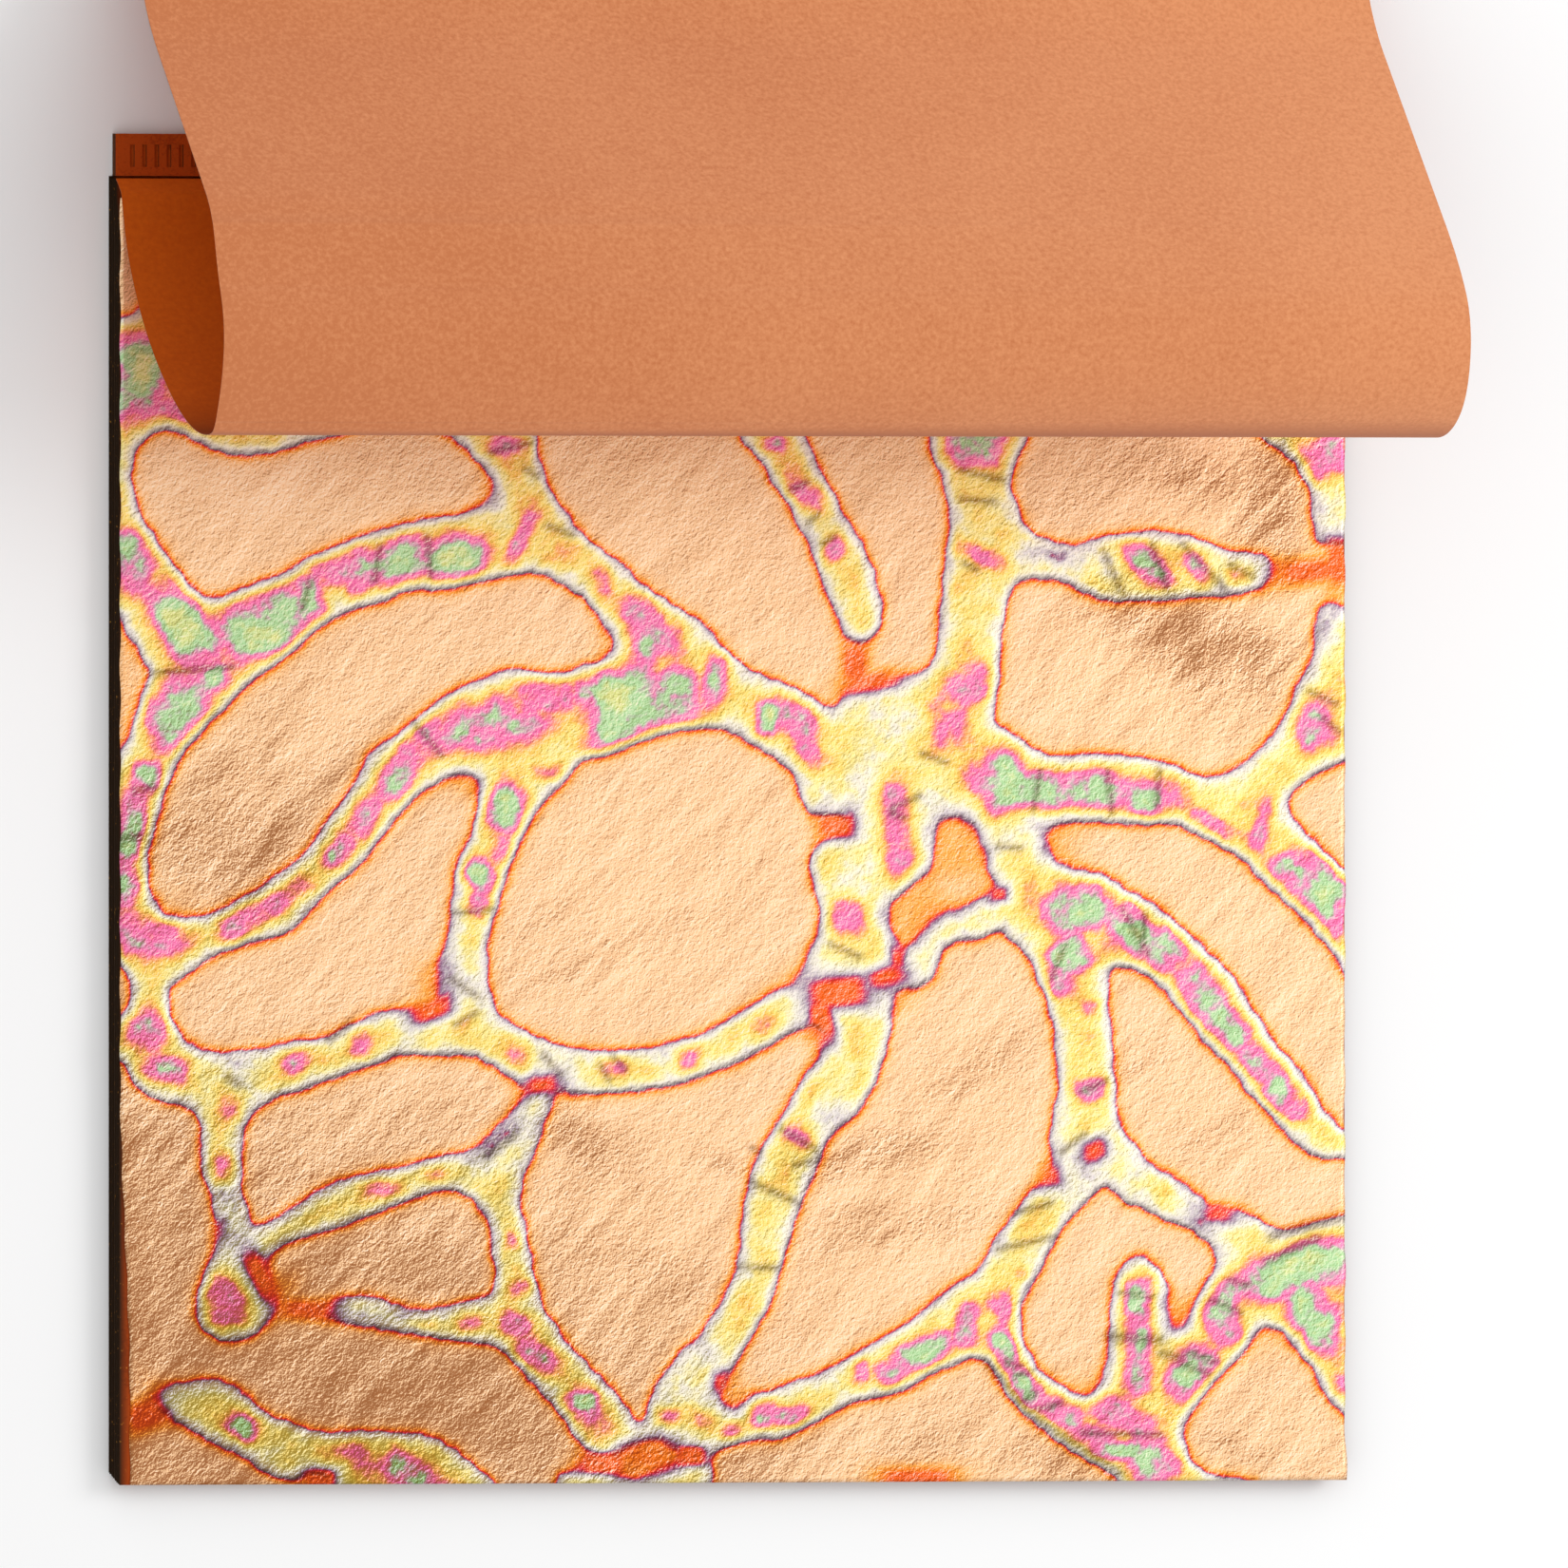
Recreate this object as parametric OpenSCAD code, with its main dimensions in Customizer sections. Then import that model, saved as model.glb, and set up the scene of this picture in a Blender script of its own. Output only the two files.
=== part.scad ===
// Gold leaf booklet, free-standing, lying on its back.
// Squares of metal leaf lie loose between tissue sheets, whose back margins are crimped together.
// The first tissue is turned back over the crimp in an open curl and shows the first leaf.
// Millimetres. X runs along the crimp, +Y points to the crimped back edge and Z is up.
// The origin is the centre of the closed booklet's underside.

/* [Metal leaf] */
// Side of the square of leaf
leaf_side = 140; // [80:1:160]
// Thickness allowed for one leaf
leaf_t = 0.02; // [0.01:0.005:0.04]

/* [Tissue] */
// Thickness allowed for one tissue with the air under it
tissue_t = 0.08; // [0.05:0.005:0.12]
// Width of tissue that shows past the leaf at each side
side_reveal = 0.5; // [0:0.1:4]
// Depth of the back margin, which carries no leaf
back_margin = 7; // [6:0.1:12]

/* [Crimp] */
// Depth of the strip that is pressed solid, from the back edge
crimp_depth = 4.6; // [4:0.1:5.4]
// Thickness of the pressed strip
pressed_t = 1.16; // [0.8:0.02:1.6]
// Length over which the sheets ease from the pressed strip to the loose stack
ease_len = 7.5; // [6:0.1:12]
// Running gap between the pressed strip and the free part of each sheet
crimp_gap = 0.3; // [0.2:0.05:0.5]
// Spacing of the embossed dashes along the strip
dash_pitch = 1.4; // [1.1:0.1:3]
// Width of one dash
dash_w = 0.5; // [0.3:0.05:0.8]
// Length of one dash
dash_len = 2.4; // [1:0.1:2.6]
// Depth of one dash
dash_depth = 0.25; // [0.1:0.05:0.4]
// Distance from the back edge to the dashes
dash_setback = 1.2; // [0.8:0.1:1.4]

/* [Loose stack] */
// How far the lowest page has drifted sideways from the highest
side_drift = 0.35; // [0:0.05:1]
// Sideways wander of single pages
page_wander = 0.12; // [0:0.02:0.3]
// How much shorter the lowest page was trimmed than the highest
trim_draw = 1.35; // [0:0.05:1.8]
// Gap under the exposed leaf, so that it slides
leaf_clear = 0.02; // [0.01:0.01:0.1]
// Gap between the exposed leaf and the first tissue lying on it
sheet_clear = 0.06; // [0.03:0.01:0.2]

/* [Turned sheet, length of each run from the crimp to the free edge] */
// Run 1, that lies nearest the crimp
run_1 = 8; // [6:0.5:12]
// Run 2, that starts to lift
run_2 = 12; // [8:0.5:16]
// Run 3, up the front of the curl
run_3 = 14.5; // [10:0.5:18]
// Run 4, the steep front of the curl
run_4 = 10; // [6:0.5:12]
// Run 5, under the crown
run_5 = 8.5; // [6:0.5:11]
// Run 6, the crown
run_6 = 8.5; // [6:0.5:11]
// Run 7, behind the crown
run_7 = 8.5; // [6:0.5:11]
// Share of the sheet behind the curl that runs down its back as run 8; run 9 is the rest
slope_share = 0.6; // [0.5:0.01:0.7]

/* [Turned sheet, bend before each run] */
// Bend at the crimp
bend_1_deg = 17; // [10:0.5:20]
// Bend before run 2
bend_2_deg = 23; // [18:0.5:28]
// Bend before run 3
bend_3_deg = 16; // [10:0.5:20]
// Bend before run 4
bend_4_deg = 24; // [18:0.5:28]
// Bend before run 5
bend_5_deg = 38; // [32:0.5:44]
// Bend before run 6
bend_6_deg = 50; // [44:0.5:54]
// Bend before run 7
bend_7_deg = 44; // [38:0.5:48]
// Bend before run 8
bend_8_deg = 15; // [12:0.5:16]
// Bend the other way before the last run
bend_back_deg = 40; // [34:0.5:44]

/* [Hidden] */
// Booklet of 25 leaves: tissue 1 is the turned sheet, tissue k + 1 lies under leaf k
LAST_LEAF = 25;
LAST_TISSUE = LAST_LEAF + 1;
LAST_RUN = 9;

// Page sizes
tissue_w = leaf_side + 2 * side_reveal;
page_len = leaf_side + back_margin;
back_y = page_len / 2;
page_pitch = tissue_t + leaf_t;
stack_t = LAST_LEAF * page_pitch;
free_from = crimp_depth + crimp_gap;

// Share of its height that the stack keeps at the crimp
pressed_share = pressed_t / (stack_t + tissue_t);
// Straight pieces in which a sheet eases up from the crimp, after the first one
EASE_STEPS = 5;
ease_table = concat(
    [[crimp_depth, pressed_share]],
    [
        for (i = [0:EASE_STEPS])
            let (d = back_margin + i * (crimp_depth + ease_len - back_margin) / EASE_STEPS)
            [d, ease(d)]
    ]
);
ease_end = ease_table[len(ease_table) - 1][0];
// Angle between the wanderings of neighbouring pages
WANDER_STEP = 137;

// Turned sheet: its inner face is the upper one when it lies closed
// How far the sheet is over the exposed leaf before that leaf begins
over_leaf = 0.1;
closed_z = stack_t + leaf_clear + sheet_clear + tissue_t;
bound_edge = [back_y - free_from, height_share(free_from) * stack_t + sheet_clear + tissue_t];
over_edge = [back_y - (back_margin - over_leaf), closed_z];
behind_curl = over_edge.x + back_y - (run_1 + run_2 + run_3 + run_4 + run_5 + run_6 + run_7);
run_8 = slope_share * behind_curl;
run_9 = behind_curl - run_8;
runs = [run_1, run_2, run_3, run_4, run_5, run_6, run_7, run_8, run_9];
bends_deg = [
    bend_1_deg,
    bend_2_deg,
    bend_3_deg,
    bend_4_deg,
    bend_5_deg,
    bend_6_deg,
    bend_7_deg,
    bend_8_deg,
    -bend_back_deg
];
// Gap between two runs at their crease
CREASE_GAP = 0.02;

function two_digits(k) = k < 10 ? str("0", k) : str(k);
function run_name(i) = str("turned_tissue_run_", i);
function tissue_name(k) = str("tissue_", two_digits(k));
function leaf_name(k) = str("leaf_", two_digits(k));

// Smooth step from 0 to 1
function smooth(t) = t * t * (3 - 2 * t);

// Share of its loose height that the stack has at a distance d from the back edge
function ease(d) = pressed_share
    + (1 - pressed_share) * smooth(min(1, max(0, (d - crimp_depth) / ease_len)));

// Same share, read between the corners of the straight pieces, so that touching sheets match
function height_share(d) = lookup(d, ease_table);

// Distances at which a sheet that lies between two distances has corners
function corners(from, to) = concat(
    [from],
    [for (e = ease_table) if (e[0] > from && e[0] < to) e[0]],
    [to]
);

// Outline of a layer between two loose heights, seen along X
function layer(from, to, low, high) = let (ds = corners(from, to)) concat(
    [for (d = ds) [back_y - d, height_share(d) * low]],
    [for (i = [len(ds) - 1:-1:0]) [back_y - ds[i], height_share(ds[i]) * high]]
);

// Depth of page k in the stack, 0 for the highest and 1 for the lowest
function depth_share(k) = (k - 2) / (LAST_TISSUE - 2);
function page_x(k) = k == 2 ? 0 : -side_drift * depth_share(k) + page_wander * sin(WANDER_STEP * k);
function page_z(k) = (LAST_TISSUE - k) * page_pitch;
function page_draw(k) = trim_draw * depth_share(k);

// Turn about the X axis that lifts what points to the front
function turn(p, a) = [p.x * cos(a) + p.y * sin(a), p.y * cos(a) - p.x * sin(a)];
// Way along a run that slopes by a, and the way out of its outer face
function along(a) = turn([-1, 0], a);
function outward(a) = turn([0, -1], a);

function slope(i) = i == 0 ? 0 : slope(i - 1) + bends_deg[i - 1];
function bends_back(i) = bends_deg[i - 1] < 0;

// Crease before run i, on the hollow side of its bend, so that flattening never jams it
function crease(i) = i == 1
    ? bound_edge
    : run_end(i - 1) + (bends_back(i) ? tissue_t * outward(slope(i - 1)) : [0, 0]);
function run_start(i) = crease(i) - (bends_back(i) ? tissue_t * outward(slope(i)) : [0, 0]);
function run_end(i) = i == 1
    ? run_start(1) + turn(over_edge + [-run_1, 0] - bound_edge, slope(1))
    : run_start(i) + runs[i - 1] * along(slope(i));

// Solid of a given width along X with an outline in Y and Z
module along_x(width, outline, x = 0) {
    translate([x - width / 2, 0, 0])
        rotate([90, 0, 90])
            linear_extrude(width)
                polygon(outline);
}

// Back margins of all the sheets, pressed into one strip with a row of embossed dashes
module crimped_binding() {
    dashes = floor((tissue_w - dash_pitch) / dash_pitch);
    color("#8f2d06")
        difference() {
            along_x(tissue_w, [
                [back_y, 0],
                [back_y - crimp_depth, 0],
                [back_y - crimp_depth, pressed_t],
                [back_y, pressed_t]
            ]);
            for (i = [0:dashes - 1])
                translate([
                    (i - (dashes - 1) / 2) * dash_pitch - dash_w / 2,
                    back_y - dash_setback - dash_len,
                    pressed_t - dash_depth
                ])
                    cube([dash_w, dash_len, 2 * dash_depth]);
        }
}

// One run of the turned first tissue; the first run also climbs from the crimp over the leaf's edge
module turned_tissue_run(i) {
    a = slope(i);
    from = run_start(i) + (i == 1 ? 0 : CREASE_GAP / 2) * along(a);
    to = run_end(i) - (i == LAST_RUN ? 0 : CREASE_GAP / 2) * along(a);
    skin = tissue_t * outward(a);
    inner = i == 1 ? [from, run_start(1) + turn(over_edge - bound_edge, a), to] : [from, to];
    color("#d38253")
        along_x(tissue_w, concat(inner, [for (n = [len(inner) - 1:-1:0]) inner[n] + skin]));
}

// Tissue under leaf k - 1; the lowest one never lifts, so it runs right up to the pressed strip
module tissue(k) {
    from = k == LAST_TISSUE ? crimp_depth : free_from;
    color("#a63e05")
        along_x(
            tissue_w,
            layer(from, page_len - page_draw(k), page_z(k), page_z(k) + tissue_t),
            page_x(k)
        );
}

// Square of leaf on tissue k + 1; the exposed one lies flat and clear, so that it slides off
module leaf(k) {
    low = page_z(k + 1) + tissue_t;
    from = back_margin - page_draw(k + 1);
    flat = low + leaf_clear;
    front_y = back_y - back_margin - leaf_side;
    color("#f0bd90")
        if (k == 1)
            along_x(leaf_side, [
                [back_y - back_margin, flat],
                [front_y, flat],
                [front_y, flat + leaf_t],
                [back_y - back_margin, flat + leaf_t]
            ]);
        else
            along_x(leaf_side, layer(from, from + leaf_side, low, low + leaf_t), page_x(k + 1));
}

crimped_binding();
for (i = [1:LAST_RUN]) turned_tissue_run(i);
for (k = [2:LAST_TISSUE]) tissue(k);
for (k = [1:LAST_LEAF]) leaf(k);
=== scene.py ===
"""A booklet of loose metal leaf, seen from above and a little from its left, with its first
tissue turned back over the crimp. Everything is in metres in the booklet's own frame: x runs
along the crimp, y towards the crimped back edge, z up from the table. Shapes are worked out in
millimetres and become metres when their mesh is made."""
import math

import bpy
import numpy as np
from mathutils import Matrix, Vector


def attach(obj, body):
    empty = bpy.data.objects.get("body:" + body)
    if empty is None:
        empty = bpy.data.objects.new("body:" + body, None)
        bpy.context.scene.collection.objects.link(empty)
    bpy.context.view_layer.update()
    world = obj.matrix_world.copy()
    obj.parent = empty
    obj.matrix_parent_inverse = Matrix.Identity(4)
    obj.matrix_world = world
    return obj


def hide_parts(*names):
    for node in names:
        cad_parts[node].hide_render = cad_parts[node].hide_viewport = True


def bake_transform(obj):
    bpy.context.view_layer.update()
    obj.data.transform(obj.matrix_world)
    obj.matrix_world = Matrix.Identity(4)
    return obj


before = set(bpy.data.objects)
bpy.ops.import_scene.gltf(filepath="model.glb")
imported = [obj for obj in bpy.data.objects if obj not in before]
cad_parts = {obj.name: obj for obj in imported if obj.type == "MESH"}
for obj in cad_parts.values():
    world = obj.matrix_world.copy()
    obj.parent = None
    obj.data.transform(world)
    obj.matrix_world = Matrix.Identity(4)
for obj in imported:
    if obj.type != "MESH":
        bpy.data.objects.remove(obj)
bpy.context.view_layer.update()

MM = 0.001
LEAF_SIDE = 140.0
LEAF_FRONT = -73.5
LEAF_TOP, LEAF_UNDER = 2.52, 2.50
SHEET_HALF = 70.5
SHEET_THICK = 0.08

# Kinds of node, and settings, that several nodes share.
MATH, MIX, RANGE = "ShaderNodeMath", "ShaderNodeMix", "ShaderNodeMapRange"
RAMP, NOISE = "ShaderNodeValToRGB", "ShaderNodeTexNoise"
TIMES_PLUS, TIMES, PLUS = ({"operation": name} for name in ("MULTIPLY_ADD", "MULTIPLY", "ADD"))
LARGER = {"operation": "MAXIMUM"}
BETWEEN_COLOURS = {"data_type": "RGBA"}
TINTED = {"data_type": "RGBA", "blend_type": "MULTIPLY"}
SOFT_STEP = {"interpolation_type": "SMOOTHSTEP"}


# Small tools

def linear(hex_colour):
    """An sRGB hex colour as linear RGBA: ((c + 0.055) / 1.055) to the power 2.4 above the toe."""
    parts = [int(hex_colour[i:i + 2], 16) / 255 for i in (1, 3, 5)]
    return [c / 12.92 if c <= 0.04045 else ((c + 0.055) / 1.055) ** 2.4 for c in parts] + [1.0]


def feed(tree, node, *values, **named):
    """Sets or links a node's sockets: values in order, named ones at the live socket of that name,
    where _ stands for a space. A node given as a value is linked by its first live output."""
    pairs = list(zip(node.inputs, values))
    for key, value in named.items():
        name = key.replace("_", " ")
        pairs.append((next(s for s in node.inputs if s.enabled and s.name == name), value))
    for socket, value in pairs:
        if isinstance(value, bpy.types.Node):
            value = next(out for out in value.outputs if out.enabled)
        if isinstance(value, bpy.types.NodeSocket):
            tree.links.new(value, socket)
        else:
            socket.default_value = value
    return node


def add(tree, kind, settings, *values, **named):
    """A node of the given kind, with its settings and with its sockets fed."""
    node = tree.nodes.new(kind)
    for key, value in settings.items():
        setattr(node, key, value)
    return feed(tree, node, *values, **named)


def new_material(name):
    """A node material with only a Principled shader on its output, its node tree and the shader."""
    made = bpy.data.materials.new(name)
    made.use_nodes = True
    tree = made.node_tree
    tree.nodes.clear()
    shader = add(tree, "ShaderNodeBsdfPrincipled", {})
    add(tree, "ShaderNodeOutputMaterial", {}, Surface=shader)
    return made, tree, shader


def colour_stops(ramp_node, stops):
    """Puts (place, hex colour) stops on a colour ramp node and gives the node back."""
    ramp = ramp_node.color_ramp
    while len(ramp.elements) > 1:
        ramp.elements.remove(ramp.elements[-1])
    ramp.elements[0].position, ramp.elements[0].color = stops[0][0], linear(stops[0][1])
    for place, colour in stops[1:]:
        ramp.elements.new(place).color = linear(colour)
    return ramp_node


def grid_faces(rows, columns, first=0, flip=False):
    """Quads between neighbouring rows and columns of a grid numbered row by row."""
    r, c = np.meshgrid(np.arange(rows - 1), np.arange(columns - 1), indexing="ij")
    a = (r * columns + c).ravel() + first
    quads = np.stack([a, a + 1, a + columns + 1, a + columns], axis=1)
    return quads[:, ::-1] if flip else quads


def mesh_piece(name, points_mm, faces, materials, face_slots=None):
    """A mesh object from points in millimetres and lists of faces, smooth all over."""
    mesh = bpy.data.meshes.new(name)
    mesh.from_pydata((points_mm * MM).tolist(), [], faces)
    for material in materials:
        mesh.materials.append(material)
    if face_slots is not None:
        mesh.polygons.foreach_set("material_index", np.asarray(face_slots, np.int32))
    mesh.polygons.foreach_set("use_smooth", np.ones(len(mesh.polygons), bool))
    mesh.update()
    piece = bpy.data.objects.new(name, mesh)
    bpy.context.collection.objects.link(piece)
    return piece


def point_values(piece, name, values):
    """Keeps one number for each vertex of a piece, for its material to read."""
    layer = piece.data.attributes.new(name, "FLOAT", "POINT")
    layer.data.foreach_set("value", np.asarray(values, np.float32))


def smooth(t):
    """0 below 0, 1 above 1, and an even S curve between: 3t squared less 2t cubed."""
    t = np.clip(t, 0, 1)
    return t * t * (3 - 2 * t)


# Camera, lamp and floor. The camera leans to the left and stands far off, as the photo's does.

TILT = math.radians(18.6)
DISTANCE = 6.0
AIM = (0.00575, 0.00275, 0.0025)
camera_data = bpy.data.cameras.new("camera")
camera_data.lens = 1261.6
camera_data.sensor_width = 36
camera_data.clip_end = 20
camera = bpy.data.objects.new("camera", camera_data)
camera.location = (AIM[0] - DISTANCE * math.sin(TILT), AIM[1],
                   AIM[2] + DISTANCE * math.cos(TILT))
camera.rotation_euler = (0, -TILT, 0)
bpy.context.collection.objects.link(camera)
bpy.context.scene.camera = camera
bpy.context.scene.view_settings.view_transform = "Standard"

# One soft lamp on the right, low enough for the leaf's wrinkles to show.
lamp_data = bpy.data.lights.new("softbox", "AREA")
lamp_data.shape = "DISK"
lamp_data.size = 0.4
lamp_data.energy = 1.9
lamp = bpy.data.objects.new("softbox", lamp_data)
lamp.location = (0.60, 0.14, 0.48)
lamp.rotation_mode = "QUATERNION"
lamp.rotation_quaternion = (-Vector(lamp.location)).to_track_quat("-Z", "Y")
bpy.context.collection.objects.link(lamp)

# Even light from all round, which the camera and reflections see as plain white.
LIT_BY_SKY, SEEN_SKY = 0.84, 1.0
world = bpy.data.worlds.new("even light")
world.use_nodes = True
bpy.context.scene.world = world
sky = world.node_tree
sky.nodes.clear()
rays = add(sky, "ShaderNodeLightPath", {})
seen = add(sky, MATH, LARGER, rays.outputs["Is Camera Ray"], rays.outputs["Is Glossy Ray"])
shown = add(sky, MATH, LARGER, seen, rays.outputs["Is Transmission Ray"])
level = add(sky, RANGE, {}, shown, To_Min=LIT_BY_SKY, To_Max=SEEN_SKY)
even = add(sky, "ShaderNodeBackground", {}, Color=(1, 1, 1, 1), Strength=level)
add(sky, "ShaderNodeOutputWorld", {}, Surface=even)

# White card: matt, and just white under the lamp and sky, so the booklet's soft shadow stays.
card, tree, shader = new_material("white card")
feed(tree, shader, Base_Color=linear("#fbfbfb"), Roughness=0.9, Specular_IOR_Level=0.0)
FLOOR = 1500.0
floor_corners = np.array([[-FLOOR, -FLOOR, 0], [FLOOR, -FLOOR, 0], [FLOOR, FLOOR, 0],
                          [-FLOOR, FLOOR, 0]])
mesh_piece("floor", floor_corners, [[0, 1, 2, 3]], [card])


# Materials of the tissues, and of the leaves in the stack

def fine_noise(tree, size_mm, detail=3.0, rough=0.55, stretch=(1, 1, 1)):
    """Noise on object coordinates whose blobs are about size_mm across."""
    place = add(tree, "ShaderNodeTexCoord", {})
    stretched = add(tree, "ShaderNodeMapping", {}, place.outputs["Object"], Scale=stretch)
    return add(tree, NOISE, {}, Vector=stretched, Scale=1 / (size_mm * MM),
               Detail=detail, Roughness=rough)


# Where painted shade on the upper sheets' left rim starts and ends, in metres along x.
RIM_FROM, RIM_TO = -0.0692, -0.0705


def tissue_material(name, main, deep, edge, fibre_mm=0.5, cloud_mm=14.0, sheen=0.0, rim=0.0,
                    painted_light_slope=0.0, cloudy=1.0):
    """Rouged tissue paper, calendered and coated with a dust of iron oxide so that leaf won't
    cling:
    matt, cloudy, with fine fibres, which are drawn coarser than real ones so that they show. Its
    steep faces, among them the cut edges and the steep parts of the turned sheet, and the upper
    sheets' left rim take a darker edge colour as painted shade, with gold specks for the leaf
    between the sheets, the brightest of them painted glints. Its tone can be made lighter along x,
    as painted light."""
    made, tree, shader = new_material(name)
    cloud = fine_noise(tree, cloud_mm, 4)
    fibre = fine_noise(tree, fibre_mm, 3, 0.6)
    mixed = add(tree, MATH, TIMES_PLUS, cloud, cloudy, fibre)
    place = add(tree, "ShaderNodeTexCoord", {})
    where = add(tree, "ShaderNodeSeparateXYZ", {}, place.outputs["Object"])
    # Random clouds and fibres, with painted light added as a slope along x.
    tone_and_painted_light = add(tree, MATH, TIMES_PLUS, where, painted_light_slope, mixed)
    face = colour_stops(add(tree, RAMP, {}, tone_and_painted_light),
                        [(0.5 * cloudy + 0.28, deep), (0.5 * cloudy + 0.78, main)])
    # Steep faces take the darker edge colour as painted shade, on the turned sheet's curl as well.
    normal = add(tree, "ShaderNodeNewGeometry", {})
    parts = add(tree, "ShaderNodeSeparateXYZ", {}, normal.outputs["True Normal"])
    flat = add(tree, MATH, {"operation": "ABSOLUTE"}, parts.outputs["Z"])
    side = add(tree, RANGE, {}, flat, 0.55, 0.2, 0, 1)
    # The upper sheets' left rim takes the edge colour too, as painted shade.
    rim_painted_shade = add(tree, RANGE, {}, where, RIM_FROM, RIM_TO, 0, rim)
    steep_shade_share = add(tree, MATH, LARGER, side, rim_painted_shade)
    # Gold specks stand for the leaf's edges between the sheets; the brightest of them are painted
    # glints.
    glint = fine_noise(tree, 0.5, 2, 0.5, (1, 1, 4))
    cut = colour_stops(add(tree, RAMP, {}, glint),
                       [(0.0, edge), (0.66, edge), (0.74, "#8a5a1e"), (0.8, "#e0aa52")])
    colour = add(tree, MIX, BETWEEN_COLOURS, steep_shade_share, A=face, B=cut)
    bump = add(tree, "ShaderNodeBump", {}, Height=fibre, Strength=0.25, Distance=0.03 * MM)
    feed(tree, shader, Base_Color=colour, Normal=bump, Roughness=0.85, Specular_IOR_Level=0.15,
         IOR=1.5, Sheen_Weight=sheen, Sheen_Roughness=0.6)
    return made


# Each tissue's third colour is for its steep faces and cut edges: painted shade.
rouged_tissue = tissue_material(
    "rouged tissue, calendered", "#b0450c", "#9c3a08", "#2a1a0a", rim=1.0)
pressed_tissue = tissue_material(
    "rouged tissue, crimped flat", "#b4470d", "#9a3808", "#46230a", 0.35, 9.0)
# The outer face is painted lighter towards its right end: painted light.
turned_outside = tissue_material(
    "rouged tissue, outer face", "#e39665", "#c97849", "#b56a40", 0.5, 30.0, 0.12, painted_light_slope=2.4,
    cloudy=0.3)
# Same paper as the stack's sheets, painted brighter: painted light shining through the thin sheet.
turned_inside = tissue_material(
    "rouged tissue, inner face", "#d8640f", "#c95709", "#8c3a08", 0.6, 30.0, cloudy=0.5)


def foil_material():
    """Beaten brass leaf, cut to squares: thin, bright, softly wrinkled; seen here at its edges."""
    made, tree, shader = new_material("brass leaf, beaten")
    cloud = fine_noise(tree, 6.0, 4)
    face = colour_stops(add(tree, RAMP, {}, cloud),
                        [(0.35, "#e6b070"), (0.65, "#fdd29c")])
    wrinkle = fine_noise(tree, 1.2, 3, 0.6, (1, 0.4, 1))
    bump = add(tree, "ShaderNodeBump", {}, Height=wrinkle, Strength=0.5, Distance=0.08 * MM)
    feed(tree, shader, Base_Color=face, Normal=bump, Metallic=1.0, Roughness=0.42)
    return made


brass_leaf = foil_material()

for name, cad_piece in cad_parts.items():
    finish = rouged_tissue
    if name.startswith("leaf"):
        finish = brass_leaf
    elif name == "crimped_binding":
        finish = pressed_tissue
    for place in cad_piece.material_slots:
        place.material = finish


# The turned tissue

# The sheet's creases seen from its left end, (y, z), from the crimp to the free edge.
CREASES = np.array([[67.07, 3.148], [59.431, 5.485], [50.22, 13.2], [42.10, 25.23],
                    [40.36, 35.10], [44.35, 42.65], [52.70, 44.41], [59.93, 39.90],
                    [88.63, 9.15], [116.478, 5.712]])
CRIMP_MOUTH = np.array([68.59, 1.27])
# The last bend before the long back slope is kept short, so that the slope starts full.
SHOULDER_REACH, TAIL_REACH, CRIMP_BEND = 5.5, 9.0, 0.4
# A quadratic spline cuts each corner. Its control corners are moved out so that it cuts less, all
# the way to the creases at the crest, but little near the crimp: closed, the sheet lies on the
# leaf there, and a spline that swings out past the creases would dip into it. At the middle of a
# bend the spline takes an eighth from each of the two neighbouring corners.
FULLNESS = {2: 0.3, 3: 0.4, 4: 0.6, 5: 0.7, 6: 0.9, 7: 1.0}
EIGHTH = 0.125
LONG_RUN = np.linalg.norm(CREASES[8] - CREASES[7])
BULGE = np.eye(len(CREASES))
for k, full in FULLNESS.items():
    after = EIGHTH if k < 7 else 0.25 * SHOULDER_REACH / LONG_RUN
    BULGE[k, k - 1:k + 2] = full * EIGHTH, 1 - full * (EIGHTH + after), full * after
CREASES = np.linalg.solve(BULGE, CREASES)
RUN_HALF = np.linalg.norm(np.diff(CREASES, axis=0), axis=1) / 2
ROUND_IN = np.concatenate([[0], RUN_HALF[:7], [TAIL_REACH]])
ROUND_OUT = np.concatenate([[0], RUN_HALF[1:7], [SHOULDER_REACH, TAIL_REACH]])
# The left end of the curl is let down by LEFT_SAG at the crest, and by nothing below SAG_FROM.
LEFT_SAG, SAG_FROM, SAG_RISE = 5.2, 33.0, 11.5
BEND_ROWS, FLAT_ROWS, TAIL_ROWS = 24, 14, 12
ACROSS = np.linspace(-SHEET_HALF, SHEET_HALF, 121)


def bend_points(corner, before, after, reach_in, reach_out, count):
    """A quadratic curve round a crease: it leaves one run reach_in before the corner and joins the
    next one reach_out after it, with the corner itself as its control point."""
    a = corner + (before - corner) / np.linalg.norm(before - corner) * reach_in
    b = corner + (after - corner) / np.linalg.norm(after - corner) * reach_out
    t = np.linspace(0, 1, count)[:, None]
    return (1 - t) ** 2 * a + 2 * t * (1 - t) * corner + t ** 2 * b


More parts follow.
